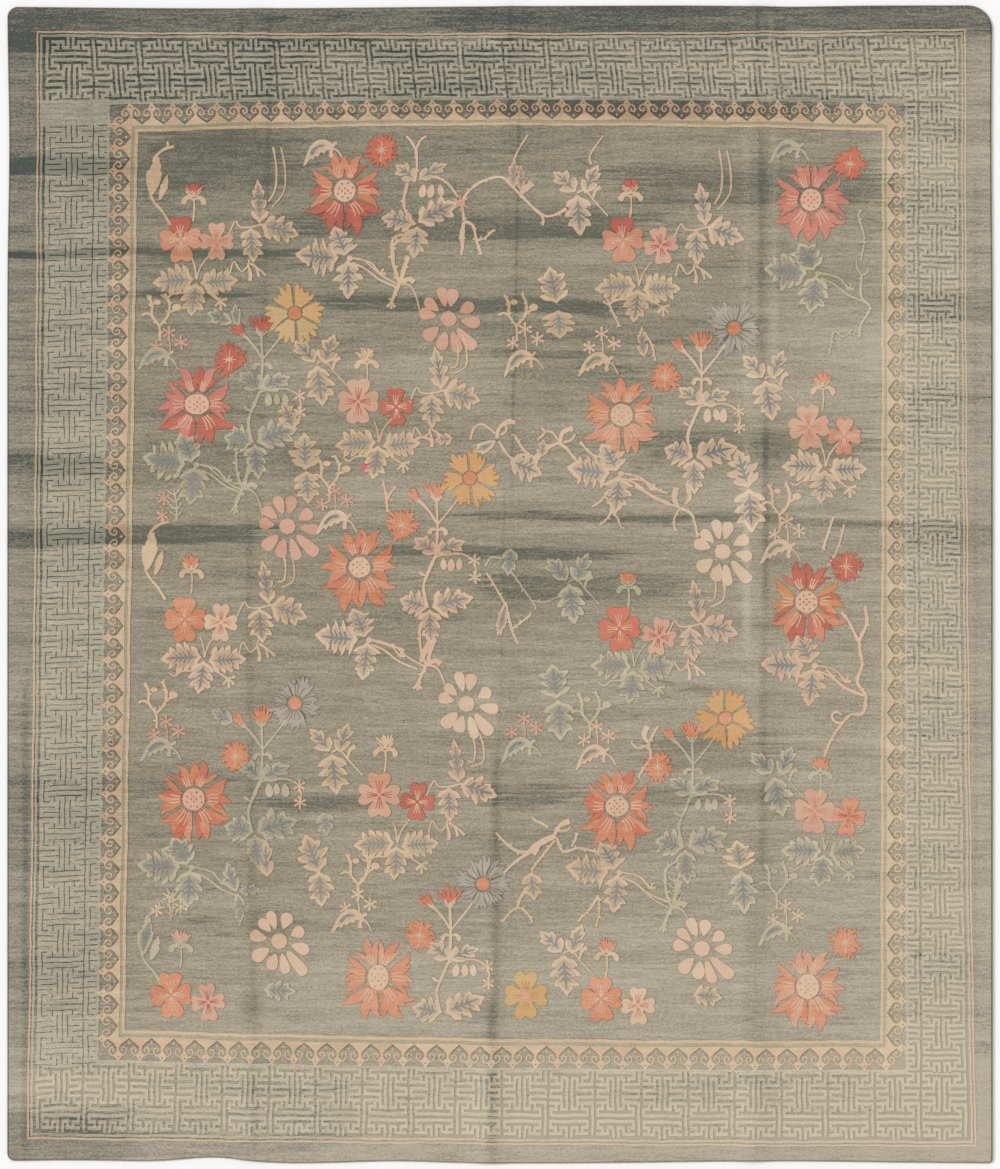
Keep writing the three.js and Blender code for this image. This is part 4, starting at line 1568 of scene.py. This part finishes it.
Vine = namedtuple("Vine", "wool start end thorns points")
VINES = [
    # top of the field
    Vine("cream", 6, 8, 60, [(-115, 1190), (-96, 1218), (-60, 1246), (0, 1262), (32, 1238), (66, 1204),
                             (128, 1146), (168, 1144), (206, 1164)]),
    Vine("cream", 5, 4, 0, [(42, 1312), (60, 1350), (86, 1392)]),
    Vine("cream", 5, 4, 0, [(282, 1300), (280, 1332), (320, 1390)]),
    Vine("cream", 8, 22, 0, [(62, 1208), (80, 1226), (100, 1244)]),
    Vine("cream", 8, 6, 0, [(130, 1142), (134, 1128), (132, 1112)]),
    Vine("cream", 7, 6, 36, [(-260, 1348), (-257, 1300), (-262, 1250)]),
    Vine("cream", 6, 6, 0, [(-290, 1388), (-274, 1372), (-260, 1350), (-246, 1376), (-228, 1388)]),
    Vine("cream", 8, 7, 0, [(-250, 1258), (-200, 1262), (-160, 1240), (-130, 1200)]),
    Vine("cream", 9, 8, 30, [(-286, 1244), (-298, 1190), (-290, 1150), (-262, 1114)]),
    Vine("cream", 6, 8, 26, [(-118, 1176), (-114, 1150), (-112, 1126)]),
    Vine("cream", 7, 8, 22, [(-112, 1124), (-84, 1112), (-72, 1062), (-58, 1022)]),
    Vine("cream", 8, 20, 0, [(-112, 1122), (-116, 1094), (-118, 1070)]),
    Vine("cream", 15, 4, 0, [(-118, 1070), (-116, 1050), (-120, 1018)]),
    Vine("cream", 6, 5, 14, [(-74, 1066), (-48, 1072), (-22, 1096)]),
    Vine("tan", 8, 8, 26, [(-282, 1082), (-316, 1080), (-334, 1058), (-332, 1002), (-316, 950)]),
    # vine across the middle
    Vine("peach", 6, 7, 0, [(-262, 450), (-238, 456), (-214, 448)]),
    Vine("peach", 6, 6, 0, [(-92, 448), (-80, 484), (-54, 496), (-14, 468)]),
    Vine("cream", 7, 7, 0, [(-4, 444), (20, 406), (44, 388), (66, 402), (98, 398)]),
    Vine("cream", 9, 14, 0, [(-10, 452), (-2, 484), (26, 504), (48, 500)]),
    Vine("cream", 6, 6, 0, [(0, 462), (18, 474), (20, 492)]),
    Vine("cream", 16, 9, 0, [(106, 384), (138, 418), (178, 438)]),
    Vine("cream", 8, 6, 26, [(176, 438), (204, 424), (226, 396), (248, 372)]),
    Vine("cream", 9, 14, 0, [(186, 434), (194, 470), (226, 484)]),
    Vine("cream", 6, 7, 0, [(198, 440), (222, 448), (232, 466)]),
    Vine("cream", 7, 7, 20, [(104, 394), (74, 416), (46, 462)]),
    Vine("cream", 6, 6, 0, [(116, 448), (138, 470), (128, 486)]),
    Vine("cream", 6, 5, 0, [(142, 474), (164, 470), (184, 440)]),
    Vine("cream", 7, 6, 22, [(334, 388), (284, 404), (248, 442)]),
    Vine("cream", 5, 5, 24, [(336, 292), (312, 258), (284, 240)]),
    Vine("cream", 5, 5, 20, [(330, 270), (346, 236), (332, 204), (308, 184)]),
    Vine("cream", 5, 5, 18, [(344, 226), (364, 206), (374, 178)]),
    Vine("cream", 6, 6, 34, [(400, 326), (444, 322), (492, 292), (520, 282)]),
    Vine("cream", 7, 7, 40, [(418, 306), (500, 258), (556, 240)]),
    Vine("cream", 8, 20, 0, [(552, 242), (540, 266), (546, 300)]),
    Vine("cream", 7, 14, 0, [(574, 248), (588, 270), (580, 304)]),
    Vine("cream", 8, 6, 26, [(560, 236), (596, 214), (612, 146)]),
    Vine("cream", 6, 5, 20, [(556, 234), (540, 204), (542, 164)]),
    # by the middle bouquets
    Vine("cream", 7, 6, 26, [(16, -60), (30, -112), (40, -150), (58, -184)]),
    Vine("cream", 6, 6, 16, [(36, -138), (62, -120), (94, -94)]),
    Vine("cream", 16, 4, 0, [(2, -84), (8, -112), (2, -158)]),
    Vine("cream", 5, 5, 22, [(-42, 36), (-22, 6), (16, -60)]),
    Vine("pale_green", 6, 5, 0, [(-46, 58), (-26, 84), (6, 80)]),
    Vine("pale_green", 6, 5, 32, [(32, 42), (62, 2), (98, -50), (112, -72)]),
    Vine("pale_green", 6, 5, 28, [(98, -50), (138, -54), (182, -38)]),
    Vine("peach", 6, 7, 30, [(-402, -170), (-352, -186), (-300, -200)]),
    Vine("peach", 9, 22, 0, [(-246, -240), (-232, -206), (-214, -178)]),
    # bottom of the field
    Vine("cream", 6, 9, 30, [(-12, -768), (18, -800), (54, -826), (96, -828)]),
    Vine("cream", 24, 12, 0, [(98, -832), (122, -802), (172, -778)]),
    Vine("cream", 8, 7, 24, [(176, -784), (196, -826), (244, -816), (300, -828)]),
    Vine("cream", 8, 16, 0, [(166, -782), (184, -748), (216, -732)]),
    Vine("cream", 6, 6, 0, [(180, -762), (206, -762), (218, -750)]),
    Vine("cream", 7, 6, 24, [(92, -832), (56, -852), (14, -890)]),
    Vine("cream", 6, 6, 0, [(150, -752), (128, -738), (112, -732), (100, -722)]),
    Vine("tan", 7, 8, 26, [(170, -792), (134, -836), (98, -884)]),
    Vine("tan", 6, 7, 22, [(80, -940), (62, -974), (54, -1000)]),
    Vine("tan", 6, 5, 12, [(54, -1000), (30, -1016), (8, -1044)]),
    Vine("tan", 6, 5, 12, [(56, -1000), (80, -1012), (100, -1042)]),
    Vine("cream", 6, 6, 26, [(222, -812), (234, -788), (236, -768)]),
    Vine("tan", 6, 5, 16, [(304, -962), (282, -1000), (240, -1044)]),
    Vine("tan", 6, 5, 16, [(304, -962), (308, -1012), (298, -1060)]),
    Vine("tan", 6, 5, 26, [(-415, -830), (-404, -870), (-430, -920)]),
    # right edge
    Vine("peach", 8, 9, 30, [(1130, -66), (1136, -120), (1112, -182), (1122, -246), (1106, -300),
                             (1134, -342)]),
    Vine("peach", 6, 8, 26, [(1056, -86), (1078, -112), (1110, -176)]),
    Vine("peach", 9, 7, 34, [(1134, -342), (1124, -398), (1084, -404), (1052, -440), (1022, -486),
                             (1004, -534)]),
    Vine("peach", 7, 6, 0, [(1062, -430), (1036, -424), (1028, -404), (1044, -394), (1058, -404)]),
    Vine("peach", 7, 7, 36, [(1010, -262), (1052, -308), (1096, -334), (1134, -344)]),
    Vine("pale_green", 6, 8, 26, [(1120, 962), (1118, 892), (1146, 856), (1116, 802), (1114, 766)]),
    Vine("pale_green", 6, 5, 0, [(1118, 958), (1106, 980), (1104, 1004)]),
    Vine("pale_green", 6, 5, 0, [(1120, 958), (1134, 964), (1142, 982)]),
    Vine("pale_green", 5, 5, 20, [(1020, 712), (1034, 784), (1062, 766), (1092, 792)]),
    Vine("pale_green", 5, 5, 24, [(1118, 1004), (1128, 1076), (1110, 1140), (1122, 1160)]),
    # by the ragged blooms
    Vine("peach", 6, 7, 24, [(-362, 322), (-352, 270), (-348, 224)]),
    Vine("peach", 6, 6, 0, [(-322, 304), (-338, 284), (-350, 262)]),
    Vine("cream", 7, 6, 24, [(490, -438), (462, -490), (466, -534), (430, -592)]),
    Vine("cream", 6, 20, 0, [(464, -492), (446, -470), (456, -438)]),
    Vine("cream", 5, 5, 18, [(460, -496), (430, -506), (408, -492)]),
    Vine("peach", 5, 5, 24, [(446, 782), (470, 742), (482, 692)]),
    Vine("cream", 6, 6, 24, [(1032, 208), (1014, 152), (1000, 108)]),
    Vine("cream", 5, 5, 24, [(1066, 186), (1044, 106), (1014, 58)]),
    Vine("tan", 5, 5, 24, [(-906, 918), (-880, 892), (-860, 868)]),
    Vine("tan", 5, 5, 20, [(332, 884), (350, 842), (372, 798)]),
]
for vine in VINES:
    if vine.thorns:
        twig(vine.wool, Spot(0, 0), vine.points, vine.start, vine.end, vine.thorns, 9)
    else:
        ribbon(vine.wool, Spot(0, 0), vine.points, vine.start, vine.end)

# leaves on a stem at the left of a pair, with a tendril above
BESIDE_LEFT = [Growth(-1085, 1212, "tan"), Growth(-1100, 50, "tan"), Growth(-1112, -1142, "pale_green")]
for growth in BESIDE_LEFT:
    spot = Spot(growth.x, growth.y)
    leaf(within(spot, 6, -6, -4), growth.wool, 116, 46, 1, 0.12, 0.3, growth.wool == "tan")
    leaf(within(spot, 30, -22, -22), growth.wool, 80, 26, 1, -0.06, 0.2, True)
    ribbon(growth.wool, spot, [(0, 0), (16, -30), (42, -60), (64, -98)], 6, 8)
    ribbon(growth.wool, spot, [(14, 92), (22, 116), (46, 136), (76, 144)], 10, 6)
    ribbon(growth.wool, spot, [(52, 138), (58, 150), (54, 158)], 6, 5)

# stems with barbs in pairs, like small fish bones
HERRINGBONES = [
    Growth(-1010, 292, "pale_green"), Growth(-1012, -946, "pale_green"), Growth(540, -905, "pale_green"),
]
for growth in HERRINGBONES:
    spot = Spot(growth.x, growth.y, chance.uniform(-8, 8))
    ribbon(growth.wool, spot, [(0, 0), (3, -44), (-4, -96)], 5, 4)
    for step in range(4):
        for hand in (-1, 1):
            down = -22 * step
            barb = [(0, down - 14), (hand * 10, down - 8), (hand * 20, down + 4)]
            ribbon(growth.wool, spot, barb, 5, 4, 0, 2)

hanging_leaves(Spot(-236, 1236), "cream")
blot("pink", Spot(0, 0), 26, 24, -120, 1182, DETAIL_LIFT, 7)
star(Spot(-120, 1182), "pink", 26)
star(Spot(-1040, 266), "pink", 22)
star(Spot(-1046, 214), "pink", 20)


Single = namedtuple("Single", "x y wool turn length width lobes bend")
SINGLES = [
    Single(-265, 1252, "cream", 42, 72, 56, 2, -0.15), Single(-250, 1254, "cream", -52, 96, 46, 2, 0.15),
    Single(-268, 1116, "cream", 74, 98, 72, 3, -0.08), Single(-252, 1122, "cream", -58, 132, 74, 3, 0.08),
    Single(-256, 1108, "cream", 176, 96, 70, 3, 0.05), Single(42, 1226, "cream", 4, 88, 34, 2, 0.1),
    Single(62, 1220, "cream", -8, 76, 26, 2, -0.1), Single(-14, 444, "cream", 122, 74, 36, 1, 0.1),
    Single(32, 382, "cream", -110, 104, 84, 3, 0.05), Single(34, 112, "pale_green", 176, 84, 44, 2, 0.05),
    Single(18, -54, "peach", 172, 104, 34, 1, 0.1), Single(96, -892, "tan", 184, 84, 58, 2, -0.05),
    Single(-730, -1254, "pale_green", -94, 96, 58, 3, 0.0),
    Single(-815, -950, "pale_green", 24, 92, 44, 2, 0.1),
    Single(-812, -956, "pale_green", 190, 96, 40, 2, 0.1),
    Single(-806, -950, "pale_green", -84, 62, 34, 2, 0.0),
    Single(-720, -905, "tan", 6, 112, 56, 2, 0.05), Single(-148, 452, "peach", 96, 52, 40, 2, 0.0),
    Single(128, 396, "cream", -8, 52, 34, 2, 0.0),
    Single(600, -1268, "tan", -98, 86, 62, 3, 0.0), Single(-640, 480, "tan", 20, 90, 60, 3, 0.0),
    Single(770, 300, "cream", 20, 120, 90, 3, 0.05), Single(770, 296, "cream", 184, 132, 92, 3, 0.0),
    Single(-602, 356, "tan", 2, 112, 88, 3, 0.0), Single(-600, 350, "tan", 184, 96, 78, 3, 0.0),
    Single(176, 872, "tan", 12, 110, 90, 3, 0.0), Single(180, 848, "tan", 184, 84, 96, 3, 0.0),
    Single(176, -352, "pale_green", 8, 104, 90, 3, 0.0),
    Single(180, -358, "pale_green", 184, 122, 84, 3, 0.0),
    Single(-560, -892, "tan", 20, 122, 92, 3, 0.0), Single(-560, -890, "tan", 184, 104, 84, 3, 0.0),
    Single(745, -880, "tan", 8, 86, 84, 3, 0.0), Single(748, -886, "pale_green", 184, 132, 80, 3, 0.0),
    Single(448, 704, "tan", 14, 92, 38, 2, 0.15), Single(-548, -706, "pale_green", 196, 70, 54, 2, 0.1),
    Single(-828, -425, "pale_green", 66, 74, 48, 2, 0.1), Single(-830, 812, "pale_green", 74, 80, 46, 2, 0.1),
    Single(-812, 800, "pale_green", 12, 66, 36, 1, 0.1),
]
for single in SINGLES:
    spot = Spot(single.x, single.y, single.turn)
    leaf(spot, single.wool, single.length, single.width, single.lobes, single.bend)


# ---- Pieces of the motifs ---------------------------------------------------------------------------------
# The islands of one dye become one piece, laid over the ground, in wool of that dye's three tones. The last
# number of a row is how far the shared tone, abrash with painted crease light and shade, swings it.
DYES = {
    "deep_red": ((164, 88, 72), (187, 108, 90), (201, 134, 112), 0.6),
    "rose": ((180, 110, 95), (201, 133, 116), (214, 158, 139), 0.7),
    "vermilion": ((170, 92, 70), (198, 118, 93), (210, 140, 114), 0.6),
    "coral": ((180, 108, 78), (203, 138, 106), (214, 162, 133), 0.8),
    "salmon": ((182, 124, 98), (203, 149, 121), (216, 174, 148), 0.8),
    "orange": ((180, 114, 74), (200, 140, 98), (212, 164, 122), 0.6),
    "pink": ((182, 138, 116), (202, 160, 136), (214, 180, 158), 0.6),
    "peach": ((188, 156, 128), (209, 178, 151), (219, 194, 170), 0.5),
    "blush": ((196, 154, 130), (214, 174, 150), (222, 188, 166), 0.5),
    "yellow": ((172, 134, 86), (197, 157, 105), (211, 181, 136), 0.6),
    "straw": ((176, 148, 104), (200, 170, 124), (214, 190, 150), 0.6),
    "amber": ((180, 132, 84), (202, 155, 106), (213, 175, 130), 0.6),
    "aster_grey": ((142, 136, 122), (168, 160, 145), (186, 178, 162), 0.7),
    "ray_slate": ((100, 99, 90), (126, 121, 108), (148, 141, 126), 0.7),
    "cream": ((184, 158, 131), (206, 180, 153), (219, 197, 172), 0.6),
    "tan": ((176, 150, 120), (205, 178, 147), (217, 194, 165), 0.6),
    "pale_green": ((150, 143, 119), (184, 173, 146), (200, 189, 163), 0.8),
    "leaf_heart": ((162, 142, 117), (190, 168, 141), (205, 185, 159), 0.7),
    "tan_heart": ((152, 134, 108), (184, 161, 132), (200, 179, 151), 0.7),
    "peach_heart": ((166, 140, 113), (190, 164, 138), (204, 182, 158), 0.6),
    "sage_heart": ((124, 121, 105), (160, 152, 131), (182, 173, 150), 0.8),
    "frieze_dark": ((76, 75, 66), (126, 118, 100), (164, 152, 130), 1.1),
    "vein_blue": ((108, 110, 107), (135, 135, 129), (156, 152, 144), 0.7),
}
for name, (deep, middle, pale, swing) in DYES.items():
    WOOLS[name] = Wool(deep, middle, pale, swing)
for name, plan_mesh in wool_plans.items():
    lay(plan_mesh, PILE_TOP)
    make_piece(f"motifs_{name}", plan_mesh, name)


# ---- Overcast edges ---------------------------------------------------------------------------------------
# Yarn whipped round the selvedge in slanting turns. The two end pieces go round the corners and the two side
# pieces run between them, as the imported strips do.
OVERCAST_WIDTH = 6
OVERCAST_HEIGHT = 8
SEAM_GAP = 0.3
TURN_PITCH = 8
TURN_SIDES = 8
TURN_SLANT = 3.0
TURN_DIP = 0.16


def edge_route(side):
    """Points along one overcast edge of the slab, in the order that keeps out on the right."""
    half_width = SLAB_WIDTH / 2
    half_length = SLAB_LENGTH / 2
    if side in ("top", "bottom"):
        end = 1 if side == "top" else -1
        stops = [(-end * half_width, end * (half_length - CORNER_RADII[-end, end] - SEAM_GAP)),
                 (-end * half_width, end * half_length),
                 (end * half_width, end * half_length),
                 (end * half_width, end * (half_length - CORNER_RADII[end, end] - SEAM_GAP))]
        stops = stops[::-1]
    else:
        hand = 1 if side == "right" else -1
        stops = [(hand * half_width, -hand * (half_length - CORNER_RADII[hand, -hand])),
                 (hand * half_width, hand * (half_length - CORNER_RADII[hand, hand]))]
    route = []
    for start, stop in zip(stops, stops[1:]):
        count = max(2, round(math.dist(start, stop) / (TURN_PITCH / 2)))
        for step in range(count):
            share = step / count
            x = start[0] + (stop[0] - start[0]) * share
            y = start[1] + (stop[1] - start[1]) * share
            route.append(in_plan(x, y))
    route.append(in_plan(*stops[-1]))
    return route


def overcast(side):
    """The whipped edge as one tube whose girth swells and dips with each turn of yarn."""
    route = edge_route(side)
    mesh = bmesh.new()
    count = len(route) - 1
    grid = bmesh.ops.create_grid(mesh, x_segments=count, y_segments=TURN_SIDES, size=1)["verts"]
    for index, vert in enumerate(grid):
        step = index % (count + 1)
        angle = 2 * math.pi * (index // (count + 1)) / TURN_SIDES
        before = Vector(route[max(0, step - 1)])
        after = Vector(route[min(count, step + 1)])
        forward = (after - before).normalized()
        outward = Vector((forward.y, -forward.x))
        girth = 1 - TURN_DIP * (step % 2)
        inset = 1 if 0 < step < count else 0
        spot = Vector(route[step]) + outward * (SEAM_GAP + OVERCAST_WIDTH / 2 * (1 + girth * math.cos(angle)))
        spot += forward * TURN_SLANT * math.cos(angle) * inset
        vert.co.x, vert.co.y = spot
        vert.co.z = OVERCAST_HEIGHT / 2 * (1 + girth * math.sin(angle))
    bmesh.ops.remove_doubles(mesh, verts=mesh.verts[:], dist=0.02)
    open_ends = [edge for edge in mesh.edges if edge.is_boundary]
    bmesh.ops.holes_fill(mesh, edges=open_ends, sides=TURN_SIDES)
    for vert in mesh.verts:
        vert.co.z += rise(vert.co.x, vert.co.y)
        vert.co *= MM
    bmesh.ops.recalc_face_normals(mesh, faces=mesh.faces[:])
    for face in mesh.faces:
        face.smooth = True
    return mesh


WOOLS["overcast_yarn"] = Wool((116, 98, 86), (156, 138, 121), (184, 168, 149), 0.7, 0.9)
for side in ("left", "right", "top", "bottom"):
    edge = make_piece(f"overcast_{side}", overcast(side), "overcast_yarn")
    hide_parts(f"binding_{side}")
